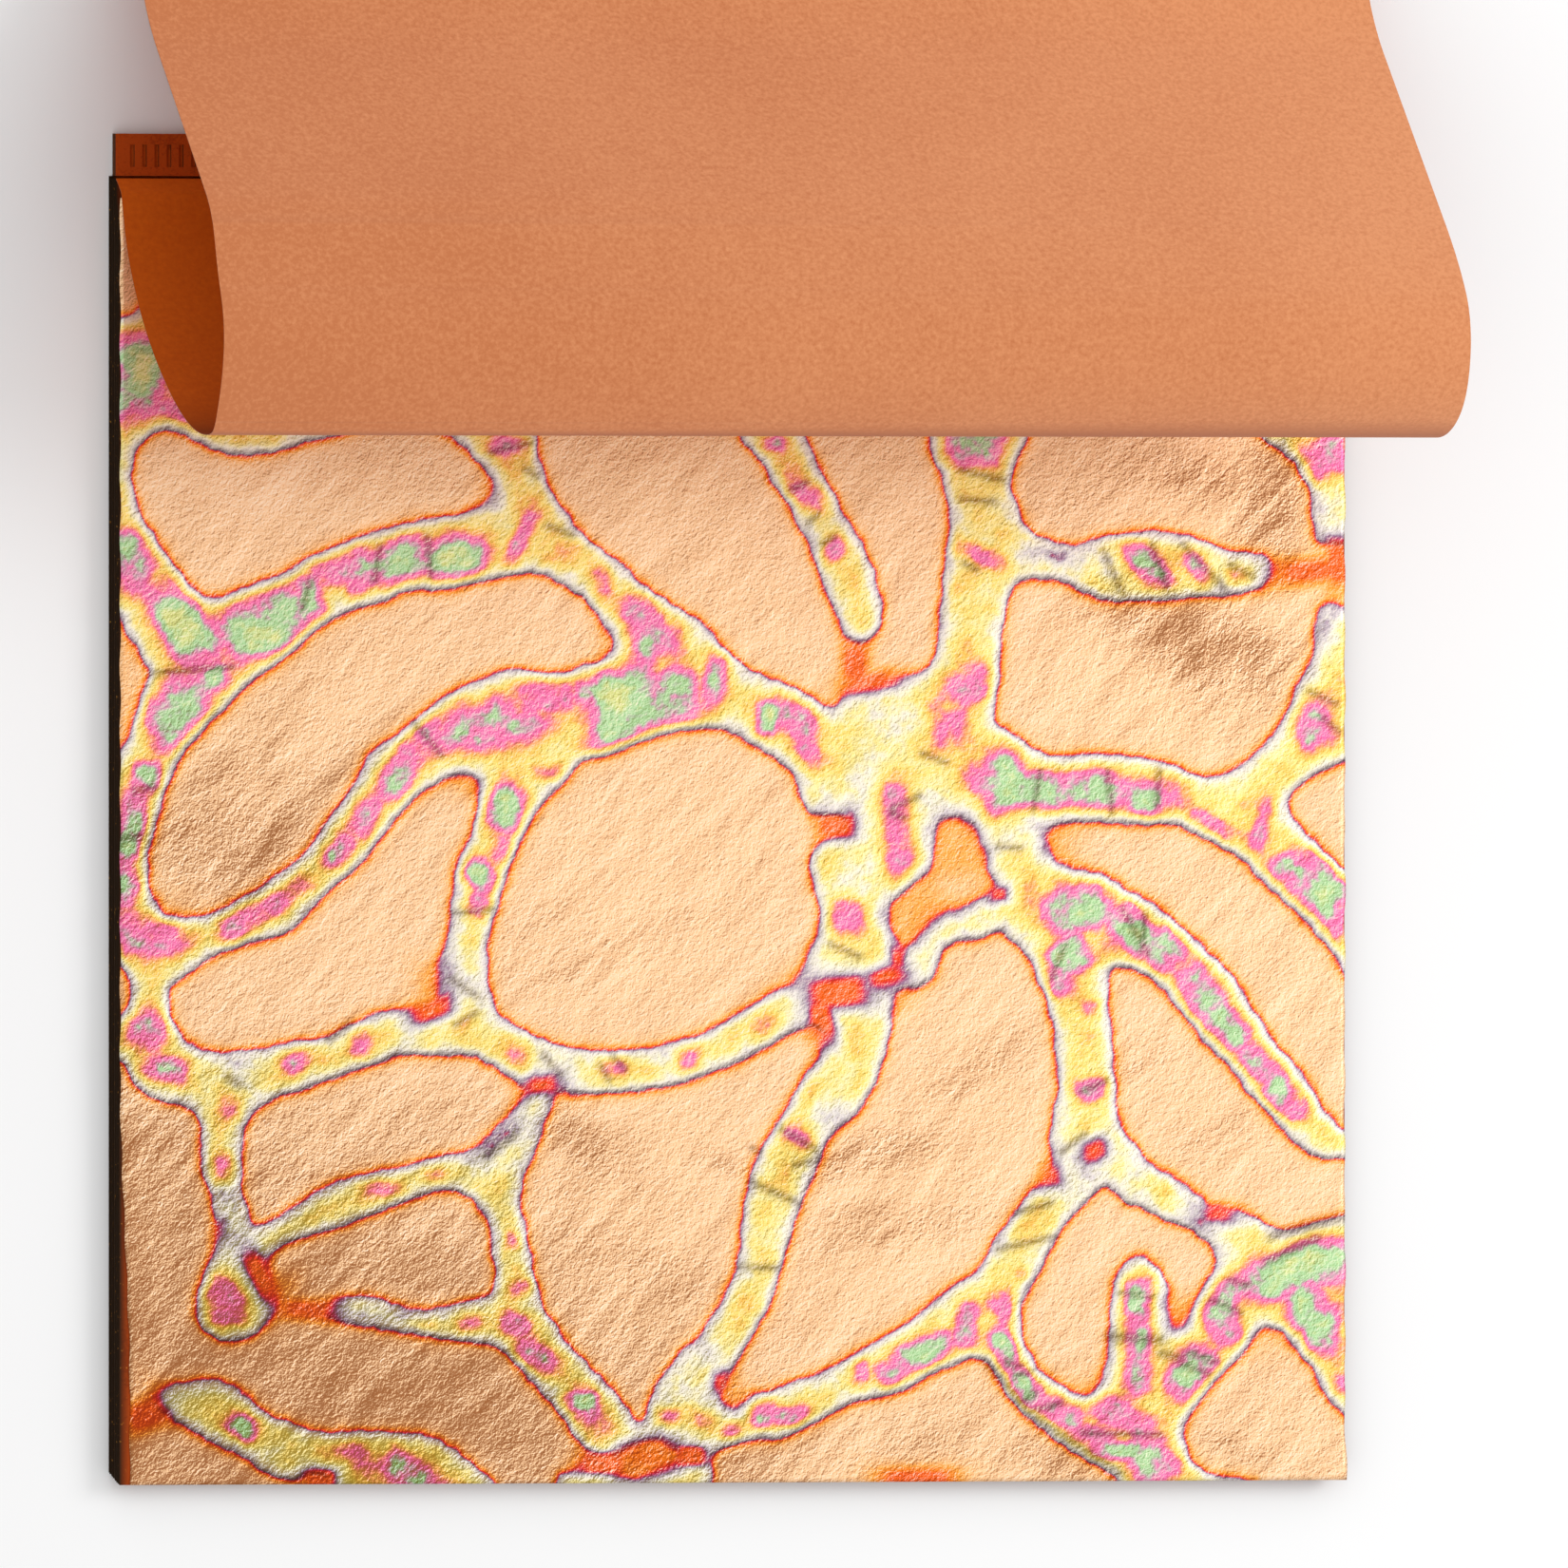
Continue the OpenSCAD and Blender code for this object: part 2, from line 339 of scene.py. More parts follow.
def sheet_piece(name, line):
    """A strip of the turned tissue: the line (y, z) carried along x, with half the paper's
    thickness put on each side along the line's normal, and closed at its rims. The line's slope
    at its two ends is that of the parabola through the last three points, so that neighbouring
    strips agree along their seam."""
    step = np.gradient(line, axis=0)
    step[0] = (-3 * line[0] + 4 * line[1] - line[2]) / 2
    step[-1] = (3 * line[-1] - 4 * line[-2] + line[-3]) / 2
    normal = np.stack([-step[:, 1], step[:, 0]], axis=1)
    normal /= np.linalg.norm(normal, axis=1)[:, None]
    rows, columns = len(line), len(ACROSS)
    size = rows * columns
    layers = []
    for side in (0.5, -0.5):
        face = line + normal * SHEET_THICK * side
        x, y = np.meshgrid(ACROSS, face[:, 0])
        z = np.repeat(face[:, 1][:, None], columns, axis=1)
        layers.append(np.stack([x, y, z], axis=-1).reshape(-1, 3))
    outer = grid_faces(rows, columns)
    inner = grid_faces(rows, columns, size, flip=True)
    index = np.arange(size).reshape(rows, columns)
    rim = []
    for run, turn in ((index[0], 1), (index[-1], -1), (index[:, 0], -1), (index[:, -1], 1)):
        quad = np.stack([run[:-1], run[:-1] + size, run[1:] + size, run[1:]], axis=1)
        rim.append(quad[:, ::turn])
    faces = np.concatenate([outer, inner] + rim)
    slots = np.zeros(len(faces))
    slots[len(outer):len(outer) + len(inner)] = 1
    piece = mesh_piece(name, np.concatenate(layers), faces.tolist(),
                       [turned_outside, turned_inside], slots)
    vertex_normals = np.zeros((2 * size, 3))
    slope = np.repeat(normal, columns, axis=0)
    vertex_normals[:, 1:] = np.concatenate([slope, -slope])
    piece.data.normals_split_custom_set_from_vertices(vertex_normals.tolist())
    return piece


def let_down(piece):
    """Lowers a strip's points: the fall grows from 0 at the right end to LEFT_SAG at the left, and
    from 0 at a height of SAG_FROM to its whole at the crest. It comes after a flat strip is tied to
    its body, or after a bend's place is baked into its points, so that two strips share their
    places along their seam."""
    points = np.empty(3 * len(piece.data.vertices))
    piece.data.vertices.foreach_get("co", points)
    points = points.reshape(-1, 3) / MM
    along = smooth((SHEET_HALF - points[:, 0]) / (2 * SHEET_HALF))
    points[:, 2] -= LEFT_SAG * along * smooth((points[:, 2] - SAG_FROM) / SAG_RISE)
    piece.data.vertices.foreach_set("co", (points * MM).ravel())
    piece.data.update()


mouth_bend = bend_points(CREASES[0], CRIMP_MOUTH, CREASES[1], CRIMP_BEND, CRIMP_BEND, 8)
mouth_run = np.linspace(CRIMP_MOUTH, mouth_bend[0], 6)[:-1]
opening = sheet_piece("tissue_at_crimp", np.concatenate([mouth_run, mouth_bend]))
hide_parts("turned_tissue_run_1")
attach(opening, "sheet_run_1")
end = mouth_bend[-1]
for k in range(1, 9):
    line = bend_points(CREASES[k], CREASES[k - 1], CREASES[k + 1], ROUND_IN[k], ROUND_OUT[k],
                       BEND_ROWS)
    if np.linalg.norm(line[0] - end) > 0.01:
        flat = sheet_piece(f"tissue_flat_{k}", np.linspace(end, line[0], FLAT_ROWS))
        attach(flat, f"sheet_run_{k}")
        let_down(flat)
    piece = sheet_piece(f"tissue_bend_{k + 1}", line)
    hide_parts(f"turned_tissue_run_{k + 1}")
    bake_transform(piece)
    let_down(piece)
    end = line[-1]
tail = sheet_piece("tissue_tail", np.linspace(end, CREASES[9], TAIL_ROWS))
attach(tail, "sheet_run_9")


# The exposed leaf's heat colours. All places are on the leaf in millimetres: the first number is
# taken from its left edge, the second from its front edge.

# Bright islands that the heat left, as closed outlines x, y, x, y. Between them lies the vein.
ISLANDS = {
    "back left":
    [3.8,114.5, 1.9,112.8, 1.15,110.5, 1.5,107.9, 2.3,105.5, 3.6,103.5, 5.2,101.4, 6.6,99.3, 8,97.8,
    9.3,96.8, 10.7,96.6, 12.1,96.9, 14.3,97.8, 17,98.7, 18.7,99.3, 20,100.2, 21.4,101.1, 24.1,102,
    26.3,103, 29.9,104, 32.6,104.8, 35.7,105.2, 38.7,105.8, 40.6,106.5, 42,107.4, 42.3,108.7,
    41.7,110.1, 40.6,111.4, 39.2,112.8, 37.6,113.9, 34,115.6, 29,115.4, 23.6,113.9, 21.4,113.5,
    19.7,113.1, 17.6,112.3, 15.4,112, 13.2,112, 11.5,112.3, 9.9,112.9, 8.2,113.8, 6,114.8],
    "left edge":
    [-2,95.5, 0,94.4, .55,92.8, 1.65,91, 2.75,89.6, 3.3,88.7, 3.1,87.7, 2.4,86.3, 1.4,83.2, .7,81.2,
    0,79.8, -2,79],
    "second left":
    [35.4,84.9, 33.2,83.2, 31.3,81.7, 29.1,80.4, 27.7,79.1, 26.9,77, 25.2,74.4, 23.3,72.4,
    22.2,70.5, 21.1,69, 19.2,67.4, 17,66.1, 15.4,64.7, 13.2,63.7, 11,62.4, 9.3,61.9, 7.1,61.7,
    5.2,62.1, 4.1,63, 3.4,64.6, 3.15,66.4, 3,68.2, 3.7,70.5, 4.5,73.1, 5.2,75.7, 6,77.5, 7.1,79.6,
    8.8,81.4, 10.1,83, 11.5,84, 13.2,85.8, 14.8,87.4, 17,88.7, 19.5,90.5, 21.1,92.1, 23,93.6,
    25.2,94.7, 27.7,95.6, 30.2,96.1, 31.8,97, 33.5,97.5, 36.2,97.3, 38.1,97.5, 40.6,98.2, 42.8,98.7,
    45,99, 46.6,99.3, 48.3,99.1, 49.7,98.3, 51.3,97.4, 52.7,96.5, 53.8,95.1, 55,93.5, 56,92.3,
    56.1,91.3, 55.4,90.3, 54.3,89.6, 52.7,89.2, 51,88.6, 49.9,88.4, 47.7,88.6, 45.3,88.8, 43.6,88.7,
    42,88.1, 39.5,87.2, 37.3,86.2],
    "back middle":
    [47.3,113.9, 47.7,111.8, 48.3,109.8, 49.2,107.9, 50.2,106.3, 51.6,104.8, 53.5,102.7, 55.4,101.4,
    57.3,100.1, 59,98.5, 60.9,97.2, 63.1,95.7, 65,94.7, 66.7,93.4, 68.3,91.8, 69.9,90.3, 71.4,88.8,
    74.1,87.8, 76.5,86.9, 78.5,86, 80.1,84.9, 81.2,84.5, 82,85.1, 82.6,86.2, 83.6,86.9, 85.6,87.4,
    88.3,87.8, 90.8,88.2, 92.2,88.8, 93,90, 93.4,91.8, 93.5,94.4, 93.9,97, 94.1,99.6, 94.4,102.7,
    94.9,104.8, 94.6,106.8, 93.9,109.4, 93,111.8, 92.4,113.5, 92.6,117, 91,121, 86,123, 80.5,121.5,
    78,117.5, 78.5,113.5, 79.5,111.3, 80.6,109.4, 82,107.1, 82.8,105.3, 84.5,103, 85.9,99.9,
    86.8,97, 87.1,94.7, 86.7,93.1, 85.6,91.9, 84.5,91.5, 83.4,91.8, 82.6,92.6, 81.7,94.4, 81.2,96,
    80.1,98, 79.4,100.1, 78.5,102.4, 77.1,105, 75.7,107.4, 74.3,109.4, 72.7,111.8, 71.2,113.5,
    69,117, 66,122, 60,126, 53,125, 48,121, 46.8,117],
    "back right":
    [103.6,113.5, 102.6,111.8, 101.9,110, 102,108.1, 102.6,106.3, 103.7,104.3, 104.8,103.4,
    106.4,103, 108.1,102.4, 109.7,102.4, 111.1,103, 113,103.5, 114.9,103.7, 117.1,104, 119.6,103.8,
    122.3,103.4, 124.5,102.7, 126.7,101.8, 128.9,101.7, 131.1,101.4, 132.4,100, 131.1,98,
    129.5,97.3, 127.5,96.8, 124,96.7, 120.1,96.3, 116.6,96.3, 114.1,96, 112.5,96.2, 110.5,96.9,
    109.2,97.6, 107.5,98.3, 105.9,98.5, 103.4,98.7, 102.3,98, 101.6,97, 101.2,94.9, 100.8,92.3,
    100.6,89.2, 100.4,86.6, 99.8,84, 100.4,82.7, 101.8,82, 102.9,81.3, 104,80.3, 105.1,79.8,
    106.4,79.3, 108.4,79.5, 110.8,79.6, 113.8,79.5, 116.6,79.2, 120.1,78.6, 121.8,77.8, 123.4,77.2,
    125.1,77, 127,77.7, 128.6,78.6, 130,79.7, 131.1,81, 132.5,82.6, 133.6,84.5, 134.5,87.1,
    135.5,88.7, 136.3,90.1, 136.7,91.8, 136.6,93.6, 137,95.4, 138,96.2, 139.1,96, 142,95, 142,102.5,
    139.6,102.3, 137.1,102.7, 136.4,103.7, 136.3,105.8, 136.1,107.9, 135.2,110, 134.1,111.5,
    132.5,112.9, 130.8,113.8, 128,117, 123,119.5, 115,120.5, 108,118.5, 104.5,116],
    "right edge":
    [142,79.5, 139.2,78.4, 137.7,77.7, 136,76.9, 134.7,76, 133.7,74.9, 133.6,73.9, 134.1,72.6,
    135.2,71.2, 136.9,69.8, 138.3,68.5, 139.4,67.3, 142,65],
    "right crescent":
    [105.9,70, 106.2,71.1, 107.2,71.7, 109.2,72, 111.9,72.1, 114.4,71.9, 116.6,71.6, 119,71.8,
    121,71.8, 122.3,71.1, 124,70.3, 126.2,69.1, 128.1,68.1, 130,66.1, 132,64.4, 134.1,62.4,
    136.1,60.6, 137.7,58.9, 138.8,57.3, 139.5,56, 142,53, 142,37, 139.3,38.9, 138.7,39.8,
    137.7,40.3, 137,41.5, 136.3,43.2, 135,44.7, 133.3,46.6, 131.7,48.5, 130.3,50.6, 128.6,53.2,
    127.3,55.1, 125.9,56.8, 124,58.4, 122.3,59.8, 120.7,61.2, 119.3,62.5, 117.4,63.8, 115.2,64.7,
    113.8,65.7, 111.9,66.5, 110,66.9, 108.1,67.4, 106.7,68.2],
    "small orange":
    [93.3,71.6, 94.1,72.4, 95.5,72.5, 96.8,72, 97.9,70.9, 98.5,69.2, 99,67.2, 99.7,65.9, 99.8,64.9,
    98.8,64.1, 97.1,63.3, 95.5,62.5, 93.8,62.2, 92.7,61.6, 91.6,60.2, 90.5,59, 89.6,58.4, 88.9,58.6,
    88.3,59.9, 87.9,61.5, 87.8,62.8, 88.6,63.5, 90,64.8, 91.6,65.9, 92.7,66.9, 93.1,68.7,
    93.1,70.5],
    "middle":
    [52.5,78.7, 53.8,79, 56,79.5, 58.2,80.3, 60.3,81.2, 63.1,81.8, 65.6,82.2, 67.2,82.4, 69.1,82.1,
    70.8,81.3, 72.4,80.3, 74.3,79.4, 76,78.1, 77.1,76.5, 77.6,75, 78.5,73.1, 79.3,72.6, 81.5,72.8,
    82.6,72.4, 82.7,71.6, 81.5,70.6, 80.3,70.1, 79.4,69.5, 78.7,68.2, 78.7,66.6, 79.1,64.8,
    79.8,63.3, 79.9,61.7, 79.5,59.9, 78.7,58.1, 77.9,56.3, 76.8,54.5, 75.2,53.9, 73.8,53.3,
    72.1,52.1, 70.5,51.3, 68,49.8, 66.1,49, 63.6,48.2, 60.9,47.6, 58.2,47.2, 54.9,47.2, 52.7,47.4,
    50.7,47.6, 48.8,48.2, 47.2,48.8, 45.3,49.8, 43.6,50.8, 42.5,51.7, 42.1,53.2, 41.8,55.1,
    41.6,57.6, 41.8,59.4, 42.4,61.2, 42.9,63, 43.6,65.4, 44.4,67.4, 45.1,69, 45.8,70.5, 46.6,72.1,
    47.7,73.7, 48.8,74.9, 50.2,76.1, 51.4,77.4],
    "left of middle":
    [38.7,77.1, 40,77, 40.6,76.2, 40.6,75, 40.3,73.1, 39.9,71.1, 39,69.2, 38.1,67.7, 37.7,65.6,
    37.5,63.3, 37.4,61.2, 36.9,59.1, 36.2,57.1, 35.8,55.2, 36,53.7, 35.7,52.4, 34.8,51.6, 32.4,51.9,
    30.7,51.7, 28.8,51.2, 27.4,50.6, 25.8,49.9, 23.9,49, 22.5,48.6, 20.6,48.4, 18.7,48.1, 16.7,47.6,
    14.3,47.3, 12.1,47, 10.1,47.2, 8.2,47.8, 6.9,48.9, 6,50.2, 5.6,51.9, 5.3,53.4, 5.8,54.3,
    7.1,55.1, 8.8,56.3, 10.1,57.4, 12.6,58.1, 14.8,59, 17,59.4, 18.7,59.9, 20,60.8, 21.4,62.2,
    23,64.1, 24.7,65.4, 26.3,66.6, 27.7,67.9, 29.3,70, 30.7,71.8, 32.4,73.7, 34,75.2, 37,76.8],
    "left speck":
    [-2,57.4, 0,56.6, .8,55.4, 1.2,53.9, 1,52.6, .3,51.3, -2,50],
    "front left":
    [-2,47.5, 0,46.2, .8,44.6, 2.2,43, 3.8,42, 5.5,41.5, 7.1,41.4, 8.2,40.7, 8.9,39.4, 9.1,37.9,
    8.8,36, 8.9,34.5, 9.6,32.4, 10.1,30.6, 10.4,28.5, 10.6,27.2, 10.1,25.9, 9.9,24.9, 9.1,23.6,
    8.4,21.8, 7.8,20, 7.8,18.4, 8.5,17.1, 9.6,16.1, 11,15.4, 12.6,15.7, 14.5,16.1, 15.6,16.9,
    16.5,17.9, 17.4,19.2, 17.2,20.7, 16.7,22, 16.2,23.9, 16.7,24.9, 17.8,25.9, 19.7,26.6, 21.9,27.2,
    23.9,27.7, 26.1,28.5, 28.5,29.3, 30.7,30.1, 33.2,31.1, 35.7,31.9, 38.1,31.8, 39.5,31.1,
    40.3,30.2, 41.3,29.3, 42,28, 42.1,25.2, 42.4,23.3, 42.5,21.8, 42,20.7, 40.9,20.2, 39,19.9,
    37,19.4, 35.1,18.9, 32.9,19.1, 31,19.6, 29.6,20.2, 28,20.5, 25.8,20.6, 23.9,20.2, 22.9,19.3,
    22.9,18.1, 25.2,17.5, 28,17.1, 30.7,16.6, 33.2,16.2, 36.2,15.7, 39,15.4, 41.4,15.3, 43.1,14.8,
    44.4,13.2, 45.8,11.7, 47.7,10.1, 49.1,8.3, 50.5,6.5, 52.1,4.4, 53.2,3.4, 52.7,2.1, 51,1.3,
    49.5,.9, 49,-2, 43,-2, 42.5,.1, 41.4,.8, 40,2.1, 38.4,3.4, 37,4.3, 35.1,5.1, 32.9,5.7, 30.2,5.7,
    27.4,5.8, 25.2,5.7, 22.5,5.8, 20.3,6.2, 18.7,6.9, 17,7.3, 15.4,8.3, 14,9.5, 12.3,10.6,
    10.7,11.4, 8.8,11.5, 6,11.2, 4.1,10.8, 3,10, 2.5,9, 3.3,7.9, 5.2,6.9, 7.4,5.7, 9.3,4.7,
    11.5,3.8, 13.4,3, 14.8,1.9, 16.5,1, 18.1,.5, 19.7,.5, 20.8,.9, 21.9,1, 23,.4, 23.5,-2, -2,-2],
    "left bay":
    [14.8,40.2, 14,38.9, 13.6,36.8, 13.6,34.5, 13.6,32.2, 14,30.3, 14.5,28.8, 15.4,28.1, 17,28.8,
    18.7,29.8, 20.6,31, 22.5,32.2, 24.7,33.1, 26.9,33.7, 29.1,34.1, 31.5,34.4, 33.5,35.1, 36.2,35.7,
    38.4,36, 40,36.4, 41.4,37.6, 42.8,38.9, 44.2,40.2, 45.3,41.7, 46,42.8, 45.5,43.4, 44.2,44.2,
    43.1,45.1, 41.4,45.9, 39.8,46.7, 37.6,46.7, 34.8,46.6, 31.8,46.7, 29.4,45.9, 26.9,45.1,
    24.7,44.3, 22.5,43.6, 20.3,42.8, 18.1,42.2, 16.7,41.6, 15.6,40.8],
    "front middle":
    [49.9,42.8, 51,42.3, 53.2,42.3, 55.4,42.5, 58.2,42.7, 60.9,42.9, 63.4,43.4, 65.8,44.1, 68,45,
    69.9,45.5, 72.1,46.7, 74.1,47.6, 75.7,48.6, 77.4,49.3, 79,49.8, 80.2,49, 80.1,47.5, 79.3,45.9,
    78.2,44.6, 77.1,43, 76.3,41.5, 75.2,39.7, 74.1,38.1, 73.2,36.6, 72.3,35, 71.7,33.2, 71.5,31.6,
    71,29.8, 70.7,27, 70.5,24.9, 69.8,22.3, 69.1,21.1, 68.3,19.4, 66.9,17.6, 66.1,16.1, 65,15.2,
    63.9,14.5, 63.1,13.2, 61.7,11.9, 60.9,10.6, 60.1,8.8, 59.7,7, 59,6.6, 57.9,7.5, 57.1,9.1,
    56,10.4, 54.3,11.7, 52.9,13.2, 51.6,14.5, 50.2,16.1, 49.1,17.6, 48,19.2, 47.5,21, 46.9,23.1,
    46.5,25.2, 46.2,27, 45.9,28.3, 45.5,29.8, 45.5,31.6, 45.8,33.5, 46.6,35, 47.5,36.8, 48.1,38.9,
    48.7,40.5, 49.3,41.8],
    "front pebble":
    [55.8,2.6, 56.8,3.3, 58.7,4.1, 60.9,4.9, 62.5,4.1, 63.9,3.1, 63.4,2.3, 61.7,1.8, 59.8,.8,
    58.2,.4, 56.8,.8],
    "right middle":
    [88.3,51.9, 88.5,53.2, 89.4,53.9, 90.8,53.8, 92.4,54.5, 93.3,55.6, 93.5,56.6, 93.8,57.8,
    94.9,58.9, 96.6,59.1, 97.9,59, 99,59.6, 100.1,60.2, 101.5,59.6, 102.9,58.3, 103.9,57,
    104.6,55.3, 105.6,53.3, 106.3,51.2, 106.7,48.9, 107,46.3, 107.2,44.6, 107.3,42.8, 106.8,41,
    106.4,38.9, 106.3,36.8, 106.5,34.6, 106.3,33.3, 105.3,32.5, 104,31.8, 102.9,30.3, 101.8,28.8,
    100.7,27.4, 99.8,26.4, 99,24.6, 98.2,23.3, 96.6,22.2, 94.9,21.3, 93.5,20.2, 91.9,18.9,
    90.2,17.6, 88.3,16.5, 86.7,15.6, 84.8,14.5, 82.8,13.5, 80.9,12.4, 79.3,11.7, 77.4,11.3,
    75.7,10.6, 74.1,10.1, 72.1,9.6, 71,8.8, 70,8.2, 69.1,8.7, 68.4,9.6, 68.9,10.6, 69.5,11.8,
    70.6,13.6, 71.6,15.3, 72.7,17.1, 74.1,19.2, 74.6,20.7, 75.2,22.6, 75.8,24.9, 76.5,26.6,
    76.9,28.3, 77.4,29.6, 78.2,31.4, 79,33.2, 79.8,35, 80.6,36.8, 81.7,38.4, 83.4,39.4, 84.5,40.7,
    85.6,42.5, 86.7,44.6, 87.4,46.7, 87.9,49, 88.1,50.6],
    "right slope":
    [113,53.2, 113,55.6, 113.8,56.2, 114.9,56.1, 116.6,55.5, 118.2,54.6, 119.9,53.2, 121.2,51.3,
    122.9,49.3, 124.5,47.5, 126.5,45.6, 128.1,43.6, 129.7,41.8, 131.4,39.9, 133,38.3, 134.7,36.6,
    136.3,35.5, 137.7,35.1, 139.3,35.3, 142,35, 142,29.5, 139.3,28.9, 137.7,28.5, 135.8,28,
    133.9,27.5, 132.2,27.5, 130.8,28.3, 129.5,29.2, 128.1,29.7, 125.6,30, 124.5,30.2, 123.7,31.1,
    122.3,32.2, 120.7,33.1, 119,34, 117.4,34.8, 116.6,36.3, 115.2,37.9, 114.2,39.2, 114,41,
    113.8,43, 113.7,45.4, 113.5,48, 113.2,50.6],
    "right horn":
    [112.7,32.3, 113.8,31.6, 114.9,30.3, 116.8,30, 118.5,29, 120.1,28.1, 121.8,27.9, 123.2,26.8,
    124.3,26, 125.2,25, 125.5,24.1, 125.1,23.1, 124.3,21.8, 123.4,20.5, 122.6,19.2, 122.1,17.9,
    121.2,16.9, 120.7,16.9, 120.1,17.9, 120,19.5, 119.9,21, 119.3,22.8, 118.5,23.7, 117.1,24.6,
    116,24.7, 114.7,23.6, 113.8,22.3, 113.4,20.7, 113.2,18.9, 113.2,16.9, 113,14.8, 112.7,12.7,
    112.2,11.2, 111.4,9.9, 110.5,9.5, 109.4,9.6, 108.1,10.4, 107,11, 105.3,12, 104.2,13.5,
    103.4,15.3, 102.9,17.1, 103,18.9, 103.7,20.7, 104.8,22.2, 105.9,24.4, 107,26.3, 107.8,27.7,
    108.9,29, 110.3,30.3, 111.4,31.5],
    "front right":
    [121.5,4.7, 121.8,6, 122.6,7.5, 124,9.1, 125.6,11.2, 127.3,12.7, 128.9,14.5, 130,16.1,
    131.1,16.7, 132.5,16.3, 133.9,15, 135,13.7, 136.3,12.2, 137.1,10.4, 138.2,8.8, 139.6,7.3,
    142.5,5, 142.5,-2, 130.5,-2, 129.5,.1, 126.7,.4, 124.5,.8, 122.9,1.8, 122.1,3.1],
    "front":
    [67.5,3, 68.8,3.8, 70.8,4.3, 73,4.8, 74.9,4.5, 76.3,5.1, 78.2,5.8, 79.8,6.7, 81.2,7.5, 83.4,8.4,
    85,9.1, 86.7,9.2, 88.3,9.5, 90,10.1, 91.9,11.2, 93.8,12.2, 95.7,12.8, 97.4,13.5, 98.5,13.4,
    99.6,12.2, 100.7,10.6, 101.8,8.8, 103.1,7.3, 105.1,6, 106.4,4.9, 108.4,3.6, 110.3,2.3,
    112.2,1.3, 113.8,.3, 115,-2, 67,-2, 67.5,.5, 67.4,1.8],
    "under the fold, left":
    [-2,127, 1,127, 2.5,128.5, 3.5,131, 6,133.5, 13,135, 22,133, 31,128, 36,127, 42,129, 45,134,
    44,142, -2,142],
    "under the fold, back":
    [50,142, 49,135, 53,131, 61,131, 69,127.5, 74,121, 77,121.5, 80,126.5, 88,128, 95,124.5,
    97,120.5, 99.5,120, 102,124, 109,125.5, 118,125.5, 126,122.5, 131,118.5, 134,118, 142,120,
    142,142],
}

